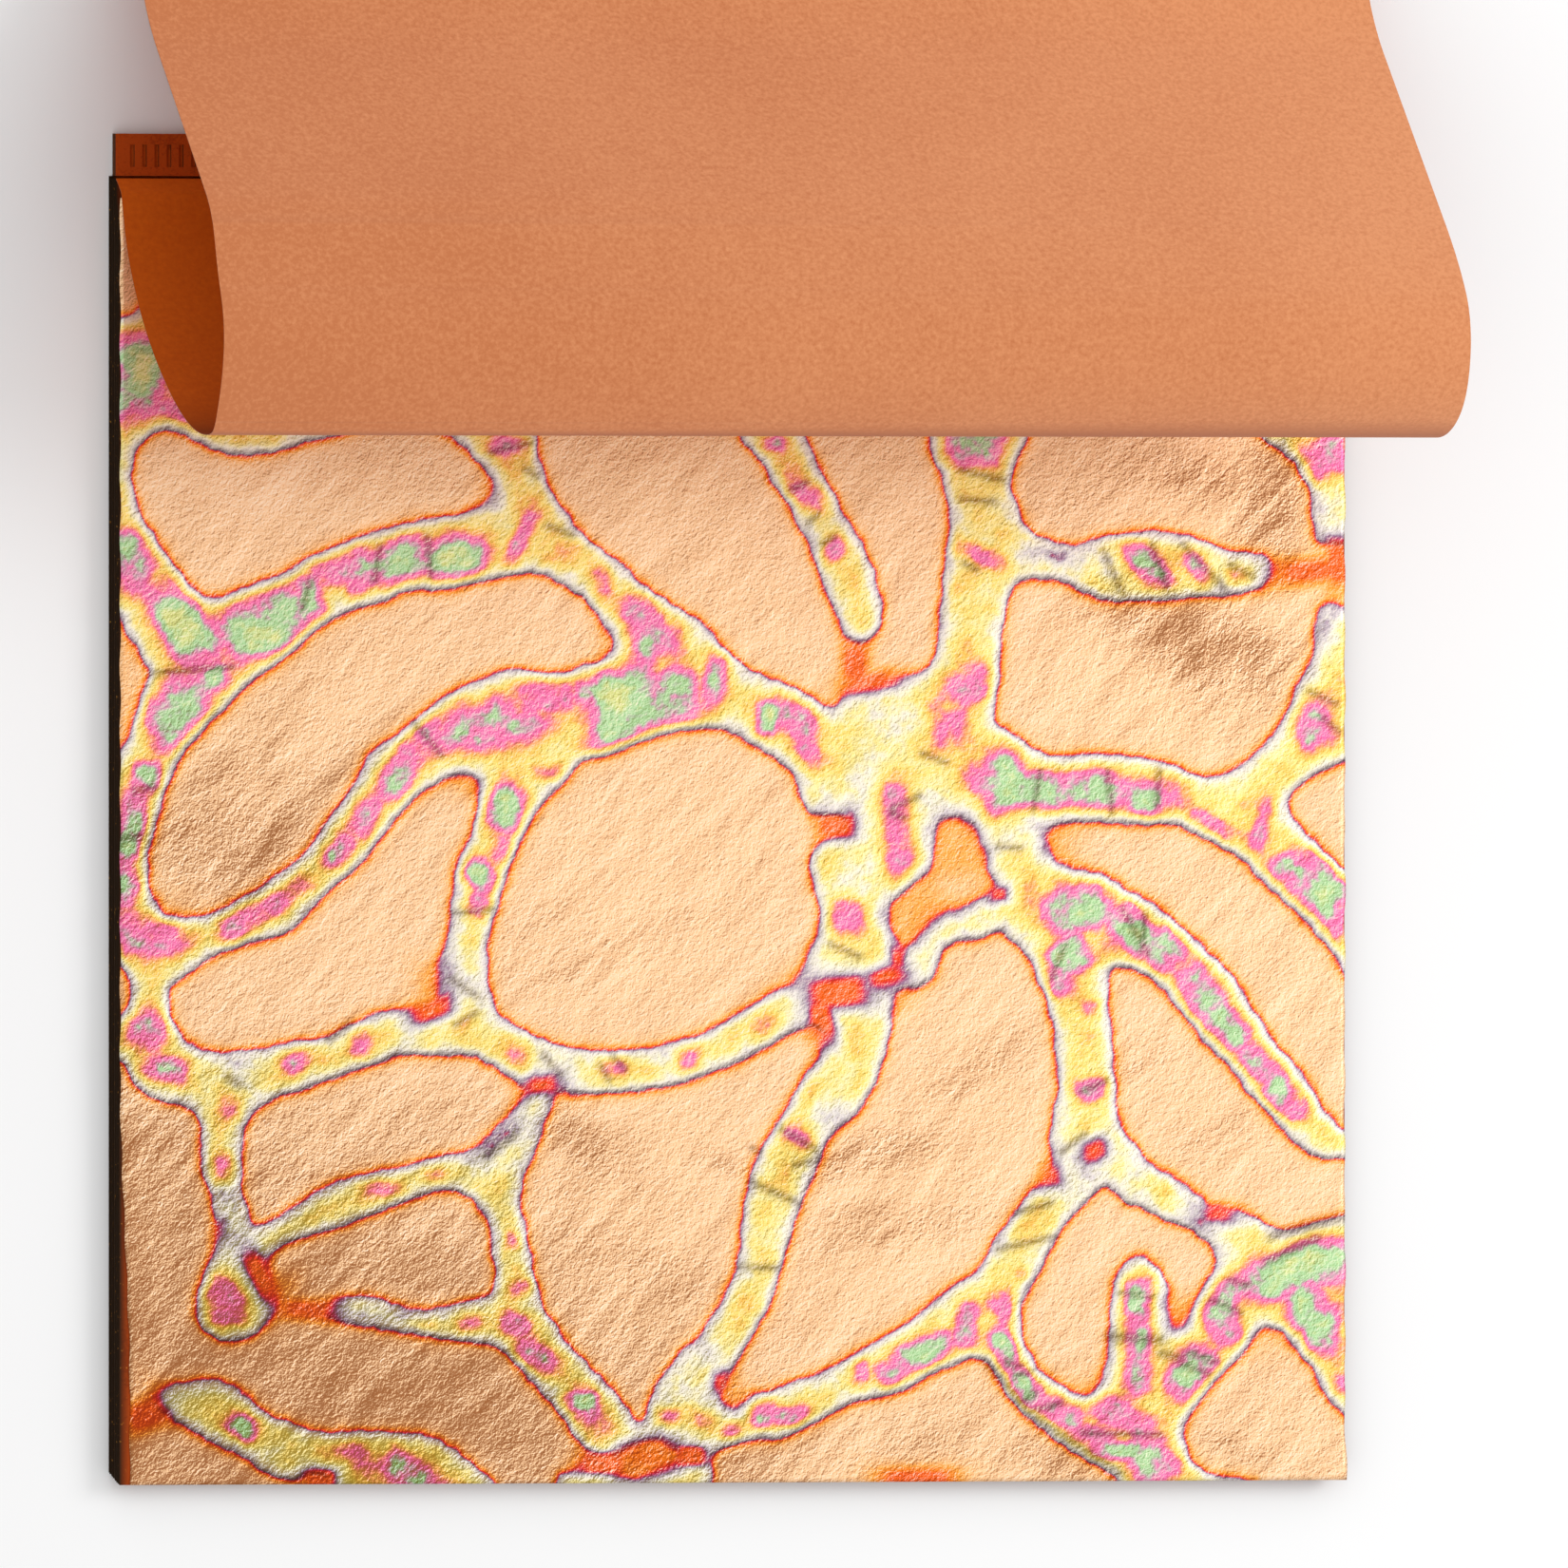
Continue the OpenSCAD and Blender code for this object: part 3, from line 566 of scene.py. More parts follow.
# Deeper heat in the vein: centre x and y, half length and half width, turn in degrees, and
# depth. 0.2 reaches orange, 0.3 pink and 0.45 green.
SPOTS = [
    (2.2, 120.6, 4.2, 2.8, 80, .5), (6, 116.4, 3.4, 1.4, -20, .28), (8, 121, 3, 2.4, 0, .3),
    (1.2, 100.6, 3, 2.6, 60, .46), (7, 93.6, 4.6, 2.4, -58, .56), (12.6, 94.6, 3.2, 1.6, 30, .26),
    (17, 93.4, 4.6, 3, 35, .56), (21.6, 96.6, 2.6, 1.4, -70, .5), (25, 100.2, 4.4, 2.2, 25, .33),
    (27.6, 98.8, 2.2, 1.4, 30, .45), (31.6, 100.4, 3.2, 2.4, 15, .52),
    (38.2, 100.8, 3.2, 2.3, 0, .52), (34, 101.5, 3, 2.2, 0, .31), (45.4, 103, 3.4, .9, 62, .28),
    (45, 113.2, 3, 1, 0, .27), (54.8, 98.4, 2.4, 1, -75, .18), (60, 93.2, 3.6, 2.4, -68, .37),
    (67.8, 87.6, 3.2, 1.4, 80, .32), (9.6, 87, 3, 1.6, 20, .4), (6.6, 84.4, 4, 3, 40, .52),
    (3, 77, 1.6, 1.6, 0, .46), (1.6, 73.2, 3.6, 1.5, 85, .5), (1, 69.6, 1.8, 1.4, 90, .48),
    (.6, 65.4, 2.2, 1.8, 60, .42), (3.4, 60, 4.4, 2.2, 0, .36), (3.2, 49.4, 2.6, 2.2, 60, .32),
    (5, 45.2, 3.2, 1.6, -10, .34), (13.6, 61, 2.6, 1.8, 30, .34), (17.4, 63.2, 3.4, 1.3, 35, .29),
    (25, 69, 1.9, 1.3, 60, .38), (27.6, 72.4, 2.6, 1.6, 55, .27), (32, 77.8, 3.6, 2, 50, .33),
    (36.8, 82, 3.6, 2.6, 35, .34), (43, 83, 4.6, 2.6, 15, .3), (47.8, 86, 3.2, 1.8, 0, .31),
    (53.2, 86.4, 1.6, 1.4, 0, .3), (57.4, 84.2, 4, 4.2, 0, .6), (62.6, 85.6, 3.2, 3, 0, .42),
    (48.6, 77.4, 1.6, .8, 0, .24), (44, 73.4, 2.4, 2.2, 60, .5), (43.6, 69, 1.8, 1.3, 60, .33),
    (41, 66.2, 1.9, 1.4, -50, .48), (40.8, 63.4, 1.4, 1, 0, .29), (40.4, 62.2, 1.8, .5, -30, .24),
    (73.8, 83.4, 1.8, 1.2, 80, .5), (77.4, 83, 3.2, 2.2, -40, .31), (79, 79.4, 2.4, 1.4, -40, .32),
    (78, 108, 2.6, 1.5, -30, .27), (81.4, 101.8, 1.6, 1.1, 40, .28), (74.2, 113.4, 1.4, .8, 0, .28),
    (97.4, 114, 3, 2.6, 0, .5), (97.6, 101.6, 3.2, 1, -22, .27), (96.6, 87, 2.8, 2, 10, .3),
    (94.8, 82.6, 2.2, 2.6, 0, .2), (88.9, 71.4, 5.8, 1.7, -86, .36), (83.2, 61.6, 2, 2, 0, .38),
    (100.6, 76.2, 2.8, 2.6, 30, .5), (103.6, 75.6, 1.6, 1.6, 0, .3), (107, 75.6, 4.4, 1.9, 0, .52),
    (112.6, 75.6, 3, 1.9, -5, .46), (116.6, 74.9, 3, 1.8, -15, .48), (120.6, 75.2, 1.8, 2, 0, .3),
    (125, 71.8, 3.6, 1, -28, .25), (130.6, 71.8, 2.8, .9, 70, .26), (133, 67, 2.4, 1.6, 30, .31),
    (137, 65.2, 2.8, 3.4, 50, .56), (138.6, 61.4, 1.8, 1.4, 60, .5),
    (136.4, 82.4, 2.4, 2.2, -60, .32), (110, 63, 3.6, 2.3, 10, .5), (116, 60.4, 3, 2, -45, .5),
    (119.4, 58.2, 2.4, 2.2, -45, .43), (108.6, 57.2, 2.2, 1.8, 30, .5),
    (107.4, 54.8, 1.8, 1.6, 0, .33), (111, 51.8, 1, .9, 0, .27), (123.4, 53.6, 3.4, 2.4, -60, .4),
    (126.4, 49.8, 2.6, 1.9, -35, .5), (130.4, 45.6, 2.6, 1.6, -50, .36),
    (132.8, 42.6, 2, 1.8, 40, .5), (134.6, 40.8, 2, 1.3, 20, .33), (111.2, 42.8, 2, 1.2, 15, .36),
    (111.4, 36.2, 1.3, 1.2, 0, -.2), (126, 30.4, 1, .7, 0, -.2), (117.4, 100, 3.2, 1.5, -50, .4),
    (123.2, 100, 2, .9, -55, .32), (128.2, 98.8, 1.4, .9, 0, .22), (137.6, 112, 2.2, 2.4, -70, .28),
    (137.6, 90.5, 1, 2, 0, .08), (19.8, 46, 1.7, 1.2, 30, .28), (27, 47.8, 1.3, 1.5, 0, .27),
    (11.4, 34.4, 1.2, 1.5, 0, .3), (12.4, 41, 1.3, 1.6, 0, .16), (28.8, 32, 2, 1.2, 20, .2),
    (35.6, 33.6, 1.4, .8, 0, .2), (44.4, 47, 1.6, 1.8, 60, .16), (56.2, 45.8, 1.6, 1.2, 0, .24),
    (64.8, 46.2, 1.2, 1.2, 0, .27), (73.6, 50.6, 1.6, 1.2, -40, .18), (77, 37.8, 2.2, .9, -25, .25),
    (44.4, 26.4, 1, 1, 0, .24), (45.6, 21.2, 1.6, .9, 20, .2), (78.6, 42.6, 1.6, 1, 50, .16),
    (85.4, 43, 1.4, 1.8, 60, .14), (11.6, 20.2, 2.6, 1.6, -35, .34), (11.4, 18.4, 2.2, 1, 0, .33),
    (13, 6.4, 2, 1.3, -25, .35), (26, 3.6, 2.2, 1.3, -40, .26), (32.4, 1.6, 2.8, 1.6, -30, .38),
    (44.8, 17.2, 1.8, 1.3, -15, .31), (47, 13.8, 2.6, 1.5, -45, .34), (52.4, 8.8, 1.9, 1, 0, .48),
    (54, 6, 3.4, 2.2, -50, .34), (39.2, 17.4, 1.4, .9, 0, .22), (62.6, 7.2, 1.5, .9, 0, .3),
    (66.4, 6.6, 2.2, 1.1, -20, .24), (69.6, 5.8, 1.3, .9, 0, .3), (73.4, 7.6, 1.5, 1.6, 0, .34),
    (76.4, 7.2, 1.9, 1.1, 0, .44), (84.6, 12, .9, 1.6, 10, .3), (88.4, 12.2, 1.9, 1.6, 30, .44),
    (91.6, 14, 3.2, 1.5, 20, .46), (96.6, 16.6, 1.2, 2, 0, .46), (97.4, 18.8, 1.4, .8, 0, .28),
    (101, 19.2, 1.6, 1.6, -50, .34), (103.2, 22.6, .9, .7, 0, .25), (101.2, 14, 2.6, 1.3, -75, .48),
    (103.4, 10, 2.6, 1.6, -55, .5), (107.4, 7.4, 2.6, 1.6, -20, .48), (113.4, 3.4, 2.9, 1, 0, .52),
    (114.6, 7, 3.6, 1.6, -28, .36), (110.4, 5, 4, 1.3, -10, .3), (118.2, 2, 3, 2.2, 20, .34),
    (116.4, 19.8, 1.7, 2.4, 0, .4), (116.2, 14.2, 1.8, 4.2, 0, .33), (122.2, 10.9, 2.2, 2, 40, .46),
    (123.8, 13.4, 2, 1.5, -40, .42), (126, 17.8, 1.9, 3, 20, .5), (126.4, 20.6, 2, 1.6, 0, .33),
    (133.6, 23, 4.2, 2, 28, .56), (138, 24, 2.4, 2.6, 0, .5), (135.6, 19, 2.6, 2.6, 0, .38),
    (137.4, 16.6, 1.9, 2.4, 0, .4), (130.6, 21.6, 3, 1.6, 30, .33), (139.4, 10.4, 1.2, 1, 0, .35),
]

# Pale, nearly white places in the veins, where the film stayed thin.
PALE = [
    (87.2, 81.4, 6, 4.4, 0, -.14), (82.6, 75, 3.6, 3.2, 0, -.2), (85, 66, 3, 5, 0, -.16),
    (92, 76, 2.4, 4, 0, -.14), (103, 70.5, 3.4, 2, 0, -.16), (12.5, 44, 4, 1.8, 0, -.14),
    (39, 54, 2.4, 2.4, 0, -.2), (49, 46, 2, 2.2, 0, -.14), (81.2, 40.5, 3, 2, 60, -.16),
    (12, 30, 1.4, 4, 0, -.2), (138.4, 93.5, 1.4, 3.4, 0, -.2), (138, 105, 1.8, 2.4, 0, -.16),
    (124.4, 27.7, 2.6, 1.6, -30, -.2), (43, 38, 3.6, 2.4, 40, -.2), (29, 18.6, 5, .9, 5, -.16),
    (107, 107, 1.4, 6, 0, -.12), (107, 101, 6, 1, -10, -.2), (96, 64, 1.6, 2, 0, -.2),
    (88.6, 110, .8, 6, 15, -.1), (110, 33.6, 2.4, 2, 30, -.14), (65, 8.4, 2, 3.4, 20, -.16),
]

# Hot places: where the orange rims of two islands run together or cross a narrow neck of vein.
# The last number is how far the film is pulled to the thickness that shows orange red: past 1 it
# is cut to 1, which gives an even middle and a soft edge.
HOT = [
    (83.9, 89.4, 1.6, 2.2, 0, 1.3), (85.4, 87.4, 3.4, 1.2, 8, 1.1), (136, 99.6, 4.6, 1.6, 5, 1.15),
    (139.6, 100.4, 1.6, 2.6, 0, 1.35), (20.6, 19, 3.6, 1.3, -4, 1.15),
    (15.4, 22.8, 4, 1.6, -60, 1.1), (18.6, 21.6, 1.8, 2, 0, .5), (80, 50.6, 1.7, 2.8, 10, 1.15),
    (81.8, 53.5, 4.4, 2.2, 6, 1.15), (87.4, 55.3, 3.4, 1.5, 16, 1), (88.8, 57.2, 1.2, 1.6, 0, .95),
    (100.5, 64.2, 1.3, 1, 0, .95), (47.7, 43.4, 2.4, 1.2, 10, 1), (35.3, 51.6, 2.8, 1.3, 20, 1.05),
    (35.2, 54.6, 2.2, 2.4, 0, .5), (54.9, 2.2, 2.8, 1.3, 0, 1.35), (59.8, 2.8, 4.6, 2.2, 0, .9),
    (65, 2.9, 1.8, 1.2, 0, 1.35), (67.2, 14, 1.4, 1.6, 0, .5), (68.3, 11, 1.2, 1.6, 0, .9),
    (106.4, 33.4, 1.5, 1.4, 0, .9), (111.4, 36.3, 1.8, 1.3, 30, .9), (125.6, 29.2, 2, 1, 0, .9),
    (22.2, .6, 1.8, 1, 0, 1.35), (1.8, 7.6, 2.6, 1.8, 20, 1.27), (81.6, 71.6, 1.9, 1.1, 0, 1.42),
    (95.8, 68.6, 3.2, 3.8, 0, .55), (91.6, 62.4, 4.4, 2.6, 50, .55), (91, 0, 4.4, 1.5, 0, 1.42),
    (107.4, 69.8, 2.6, 2.4, 0, .4), (121, 17.9, 1.6, 2, 0, .6), (42, 107.8, 1.8, 1.8, 0, .35),
    (55.4, 91.6, 1.4, 1.6, 0, .35), (39.4, 76, 1.6, 1.4, 0, .4), (89.2, 53, 2, 2, 0, .4),
    (5, 63, 3.2, 2, 0, .2), (111, 10.4, 2, 1.6, 0, .3), (131, 15.4, 2.2, 2, 0, .25),
    (-.4, 87, 2, 6, 0, .3), (69.6, 9.6, 1.8, 2.2, -40, .5), (10.6, 27.5, 1, 1.6, 0, .5),
    (4, 9.6, 3, 1.4, -30, .5),
]

# Thin places of painted shade on the wrinkled leaf, and below 0 of painted light, with the same
# six numbers.
SHADE = [
    (16, 107.5, 9, 3.4, 5, -.3), (116.8, 94.4, 5, 2.6, -30, .7), (8, 70, 9, 5, 15, .6),
    (16, 68.4, 7, 4, 30, .9), (10, 76, 9, 4, 25, .35), (20, 76, 7, 3, 25, .3),
    (4, 34, 4, 8, 0, .35), (1, 18, 1.2, 20, 0, .8), (14, 13, 9, 3, 20, .5), (25, 13, 9, 3, 10, .55),
    (36, 12, 9, 3, -5, .55), (34, 8, 10, 2, -8, .6), (43, 6, 7, 3, -35, .45), (6, 2, 6, 3, -40, .7),
    (4, 5, 3, 2.5, 0, -.2), (22, 22.5, 6, 2, 25, .45), (34, 24, 5, 2, -10, .45),
    (27, 15, 5, 1.2, 45, -.3), (52, 37.6, 4, 2, -30, .7), (56, 34.6, 4, 1.6, -25, .3),
    (69.6, 34.6, 3, 1, -20, .4), (84, 35.6, 7, 1.6, 15, .6), (90, 28, 12, 1.6, 10, .3),
    (84, 29, 5, 1.2, 5, .35), (98, 45, 5, 1.6, 30, .3), (122, 92.4, 6, 3.4, -35, 1.1),
    (127.6, 91.2, 5, 3, -30, .9), (119, 94, 4, 1, -50, .3), (132, 108.6, 2.6, 6.5, -8, 1.1),
    (129.6, 105, .8, 6, -12, .3), (123, 110, 7, 2.4, -10, .55), (110, 108, 5, 2, 30, .25),
    (116, 45.6, 3, 1, 25, .35), (125, 38, 4, 1.2, 20, .25), (92, 4, 6, 2.4, 20, .25),
    (70, 1.6, 4, 2, 0, .4), (74, 2.6, 4, 1.4, 30, .3), (107, 2.4, 4, 1.6, -20, .5),
    (111, 1.2, 3, 1, 0, .5), (126, 4.4, 5, 1, -20, .3), (49, 55.6, 5, 1.6, 20, .25),
    (60, 24, 6, 1.4, -15, .25), (63, 21, 5, 1.2, 0, .25), (47, 61, 4, 1.6, 30, .2),
    (6, 89.4, 3, 1.4, 0, .1), (20, 62.5, 2.4, .7, 30, .4), (82, 26, 4, 1, 0, .25),
    (59, 60, 8, 1.4, 10, .15), (4, 37, 4, 1, 20, .3),
]

# Creases across the vein: from x, y to x, y, and half width.
CREASE_LINES = [
    (3.5, 88.3, 12.6, 89, .35), (1.5, 75.6, 4, 75.8, .35), (0, 70.3, 2.4, 70.6, .5),
    (33.4, 82.8, 36.4, 79.4, .25), (35.2, 99, 34.8, 103.2, .2), (20.6, 95.4, 21.4, 98.4, .25),
    (28.8, 98.4, 29.4, 102, .25), (112.9, 77.6, 113.4, 73.2, .25), (118.8, 77.8, 118.6, 73.8, .2),
    (105.2, 77.6, 104.4, 73.4, .25), (114.6, 62.6, 117.6, 57.6, .3), (117.2, 62, 116.8, 57.8, .25),
    (106.4, 55, 108, 58.6, .3), (109.8, 42.6, 112.8, 43.8, .35), (107.6, 36, 110.4, 38, .3),
    (112.4, 101.8, 114.6, 97.2, .35), (121.6, 102.4, 126.4, 97.6, .45),
    (118, 102.4, 119.8, 97.6, .5), (127, 100.2, 129.6, 99, .3), (96, 110.6, 101, 109.4, .3),
    (96, 107.4, 100, 107, .3), (96.4, 100.4, 98, 99.6, .2), (76.6, 108.4, 78.4, 109.2, .25),
    (80, 102.4, 81.4, 103.2, .2), (79.6, 105.6, 78.4, 104.6, .2), (72, 36.6, 73, 36, .2),
    (75.4, 38.6, 79.6, 36.2, .5), (77, 34.6, 79.6, 35.4, .4), (72, 32.8, 77.6, 30.4, .45),
    (70.6, 23.6, 75, 23.4, .2), (37.6, 55, 40.6, 53, .35), (37.8, 62.2, 42.4, 62.6, .35),
    (38, 50, 40.4, 51.4, .4), (23.6, 48.4, 26, 50.2, .4), (41.4, 35.6, 44.8, 38, .5),
    (12, 44.4, 13.4, 43.6, .5), (100.4, 25.4, 107, 26.8, .3), (102.6, 29.4, 106.4, 30.4, .3),
    (101.2, 13, 103, 12.6, .25), (102.4, 11.6, 104.2, 12, .2), (102.8, 8.6, 104.6, 9.6, .2),
    (104.6, 7.8, 107.6, 8.6, .2), (110, 5.3, 119, 5, .2), (113.2, 15.8, 119, 15.4, .7),
    (119, 14, 121.4, 13.4, .6), (114.4, 20.6, 118, 20.2, .3), (121, 13, 124.6, 11.6, .3),
    (122, 14.2, 125.4, 13, .3), (124.8, 19.8, 128.2, 18.4, .4), (126.8, 22, 129, 21.4, .3),
    (131, 24, 137, 26.6, .5), (137.4, 83.6, 139.4, 82, .25), (136, 86.4, 139, 85, .3),
    (88, 73.6, 91.4, 75, .3), (88, 73, 89.6, 72.6, .2), (48.6, 104.4, 51.4, 103.4, .2),
    (46, 110.6, 47.4, 109.8, .2), (42, 112.4, 46.6, 113.4, .4), (91.6, 79.6, 94.4, 78.6, .2),
    (100.4, 69.4, 103, 69.2, .25), (81, 58.8, 84.4, 57.4, .2), (131.6, 26.8, 140.5, 28.9, .6),
    (98.8, 13.3, 104.2, 7.2, .3), (104.2, 7.2, 114.5, .8, .3), (56, 46.6, 57.4, 45.2, .2),
    (48, 46.8, 50, 44.6, .4), (54.6, 45.6, 55.6, 44, .3),
]

LONGEST_SIDE = 3.0
FINEST_LINE = 0.42
CHUNK = 32


def rounded(outline):
    """The outline, its long sides split first, with each corner cut at a quarter and three
    quarters of its sides, twice."""
    points = np.array(outline, float).reshape(-1, 2)
    sides = np.roll(points, -1, axis=0) - points
    parts = np.maximum(1, np.ceil(np.linalg.norm(sides, axis=1) / LONGEST_SIDE)).astype(int)
    share = np.concatenate([np.arange(n) / n for n in parts])[:, None]
    points = np.repeat(points, parts, axis=0) + share * np.repeat(sides, parts, axis=0)
    for _ in range(2):
        ahead = np.roll(points, -1, axis=0)
        cuts = [0.75 * points + 0.25 * ahead, 0.25 * points + 0.75 * ahead]
        points = np.stack(cuts, axis=1).reshape(-1, 2)
    return points


def outline_distance(points, outline):
    """Distance from points to a closed outline, below 0 inside it: the nearest point of every
    side, and an odd count of crossings of a ray along x for the inside."""
    a, b = outline, np.roll(outline, -1, axis=0)
    best = np.full(len(points), 1e9)
    inside = np.zeros(len(points), bool)
    px, py = points[:, :1], points[:, 1:]
    for start in range(0, len(a), CHUNK):
        p, q = a[start:start + CHUNK], b[start:start + CHUNK]
        s = q - p
        rel = points[:, None, :] - p[None]
        t = np.clip((rel * s).sum(-1) / (s * s).sum(-1), 0, 1)
        gap = rel - t[..., None] * s
        best = np.minimum(best, (gap * gap).sum(-1).min(1))
        crosses = (p[:, 1] > py) != (q[:, 1] > py)
        height = np.where(s[:, 1] == 0, 1e-9, s[:, 1])
        left = px < s[:, 0] * (py - p[:, 1]) / height + p[:, 0]
        inside ^= (np.count_nonzero(crosses & left, axis=1) % 2).astype(bool)
    return np.where(inside, -1, 1) * np.sqrt(best)


def spots_field(x, y, spots, power):
    """Largest of the spots at each point, with the lowest one below 0 added: depth times exp of
    minus 0.7 times the turned, stretched distance from the centre, squared, to the given power."""
    above, below = np.zeros_like(x), np.zeros_like(x)
    for cx, cy, long_half, short_half, degrees, depth in spots:
        turn = math.radians(degrees)
        reach = 3.2 * max(long_half, short_half)
        near = (np.abs(x - cx) < reach) & (np.abs(y - cy) < reach)
        dx, dy = x[near] - cx, y[near] - cy
        u = (dx * math.cos(turn) + dy * math.sin(turn)) / long_half
        v = (-dx * math.sin(turn) + dy * math.cos(turn)) / short_half
        value = depth * np.exp(-0.7 * np.hypot(u * u, v * v) ** power)
        if depth > 0:
            above[near] = np.maximum(above[near], value)
        else:
            below[near] = np.minimum(below[near], value)
    return above + below


def lines_field(x, y, lines):
    """1 along each line, falling to 0 as exp of minus the squared distance over its half width."""
    total = np.zeros_like(x)
    for x0, y0, x1, y1, half in lines:
        dx, dy = x1 - x0, y1 - y0
        t = np.clip(((x - x0) * dx + (y - y0) * dy) / (dx * dx + dy * dy), 0, 1)
        away = (x - x0 - t * dx) ** 2 + (y - y0 - t * dy) ** 2
        total = np.maximum(total, np.exp(-away / max(half, FINEST_LINE) ** 2))
    return total


LATTICE = 800


def value_noise(x, y, cell, seed):
    """Seeded random heights on a square lattice of the given cell, joined by S curves."""
    column, row = x / cell + LATTICE // 2, y / cell + LATTICE // 2
    i, j = np.floor(column).astype(int), np.floor(row).astype(int)
    heights = np.random.default_rng(seed).random((LATTICE, LATTICE))
    s, t = smooth(column - i), smooth(row - j)
    near = heights[j, i] * (1 - s) + heights[j, i + 1] * s
    far = heights[j + 1, i] * (1 - s) + heights[j + 1, i + 1] * s
    return near * (1 - t) + far * t


# The fields that the leaf's colours are worked out from, at each point of a square grid.
COLUMNS = 300
GRID_STEP = LEAF_SIDE / (COLUMNS - 1)
BORDER_REACH = 9.0
line = np.linspace(0, LEAF_SIDE, COLUMNS)
u, v = (grid.ravel() for grid in np.meshgrid(line, line))
# The borders waver by about a tenth of a millimetre.
wave = 0.16 * np.sin(v * 1.9 + 0.7 * u) + 0.12 * np.sin(u * 2.7 - 0.9 * v)
wavering = np.stack([u + wave * 0.5, v + wave * 0.4], axis=1)
border = np.full(len(u), BORDER_REACH)
for outline in ISLANDS.values():
    points = rounded(outline)
    low, high = points.min(0) - BORDER_REACH, points.max(0) + BORDER_REACH
    near = ((wavering >= low) & (wavering <= high)).all(axis=1)
    border[near] = np.minimum(border[near], outline_distance(wavering[near], points))
border = np.maximum(border, -BORDER_REACH)
# Past this depth a spot counts half, so that only the deepest middles turn green.
FULL_DEPTH = 0.27
spots = spots_field(u, v, SPOTS, 1.4)
spots = np.where(spots > FULL_DEPTH, FULL_DEPTH + 0.5 * (spots - FULL_DEPTH), spots)
depth = spots + spots_field(u, v, PALE, 1.2)
hot = np.minimum(spots_field(u, v, HOT, 1.1), 1)
# Painted shade over the leaf's front left corner, most of all within 80 by 54 mm of the corner.
corner_shade = (smooth(1.15 - np.hypot(u / 80, v / 54)) * 0.95 + smooth(1 - v / 30) * 0.10
                + 0.06 * smooth((60 - u) / 50))
shade = np.clip(spots_field(u, v, SHADE, 1.0) * 0.9 + corner_shade, -0.2, 1.2)
crease = lines_field(u, v, CREASE_LINES)
# Above 0 at a vein's front border, where the distance into it grows to the back. This is the
# side of each vein that takes painted shade.
slope_v, slope_u = np.gradient(border.reshape(COLUMNS, COLUMNS), GRID_STEP)
painted_vein_shade_side = np.clip((slope_v * 0.9 - slope_u * 0.15), -1, 1).ravel()

# The leaf's relief: veins stand a little higher, and folds run from front left to back right. It
# may rise by ROOM, but at the crimp by nothing, since the closed sheet comes down to it there.
ROOM, ROOM_PER_MM = 0.26, 0.008
# The folds' cell in millimetres, their share of the height, and the seed, from coarse to fine.
FOLDS = (11.0, 0.40, 3), (5.0, 0.28, 5), (2.4, 0.20, 7), (1.3, 0.12, 9)
room = np.minimum(ROOM, ROOM_PER_MM * (LEAF_SIDE - v))
ridge = smooth((border + 0.4) / 1.6)
across, along = (u - v) * 0.7, (u + v) * 0.4
crumple = sum(share * np.abs(2 * value_noise(across, along, cell, seed) - 1)
              for cell, share, seed in FOLDS)
height = LEAF_TOP + room * (0.35 * ridge + 0.50 * crumple + 0.15 * crease)
# Painted light and shade of the folds, from their slope along one slant: above 0 shaded, below 0
# lit.
fold_v, fold_u = np.gradient(crumple.reshape(COLUMNS, COLUMNS), GRID_STEP)
fold = np.clip(3.2 * (fold_u * 0.6 - fold_v * 0.8).ravel(), -1, 1)
# Its left and right edges aren't quite straight. Both shifts fade inwards with the sixth power.
left_shift = -0.42 + 1.1 * smooth((44 - v) / 34)
right_shift = 0.54 + 0.25 * smooth((8 - v) / 9) + 0.04 * np.sin(v * 0.6)
share = u / LEAF_SIDE
x_leaf = u - LEAF_SIDE / 2 + left_shift * (1 - share) ** 6 + right_shift * share ** 6
x_leaf += 0.08 * np.sin(v * 0.9) * ((share > 0.998) + (share < 0.002))
top = np.stack([x_leaf, LEAF_FRONT + v, height], axis=1)
number = np.arange(COLUMNS * COLUMNS).reshape(COLUMNS, COLUMNS)
ring = np.concatenate([number[0, :-1], number[:-1, -1], number[-1, :0:-1], number[:0:-1, 0]])
under = top[ring]
under[:, 2] = LEAF_UNDER
below = np.arange(len(ring)) + len(top)
rim = np.stack([ring, below, np.roll(below, -1), np.roll(ring, -1)], axis=1)
leaf_faces = grid_faces(COLUMNS, COLUMNS).tolist() + rim.tolist() + [below[::-1].tolist()]
leaf_fields = {"border_mm": border, "spot_depth": depth, "hot": hot, "shade": shade, "painted_vein_shade_side": painted_vein_shade_side,
               "crease": crease, "fold": fold}

# Film thickness over the distance into the vein: places from 2 mm inside an island to 6 mm out.
BORDER_LOW, BORDER_HIGH = -2.0, 6.0
FILM_STEPS = [
    (0.0, 0.0), (0.06, 0.012), (0.12, 0.032), (0.165, 0.062), (0.205, 0.12), (0.235, 0.20),
    (0.25, 0.25), (0.268, 0.32), (0.30, 0.39), (0.345, 0.455), (0.42, 0.54), (0.52, 0.60),
    (0.70, 0.635), (1.0, 0.645)]
HOT_FILM = 0.185
HEAT_COLOURS = [
    (0.00, "#f9cc9c"), (0.05, "#fdc588"), (0.10, "#ffac46"), (0.16, "#ff8412"), (0.20, "#f8521a"),
    (0.235, "#e8323e"), (0.265, "#c04878"), (0.295, "#9a6e92"), (0.33, "#b5a6b4"),
    (0.38, "#dcd4d2"), (0.45, "#f0e9d2"), (0.53, "#f7e79c"), (0.61, "#fcdf78"), (0.69, "#fdc95e"),
    (0.75, "#fda868"), (0.80, "#fb868c"), (0.85, "#fa72ae"), (0.905, "#f27cb4"),
    (0.945, "#cda0b2"), (0.97, "#b2c2a4"), (1.0, "#aed69e")]
CRINKLE_MM = 0.46


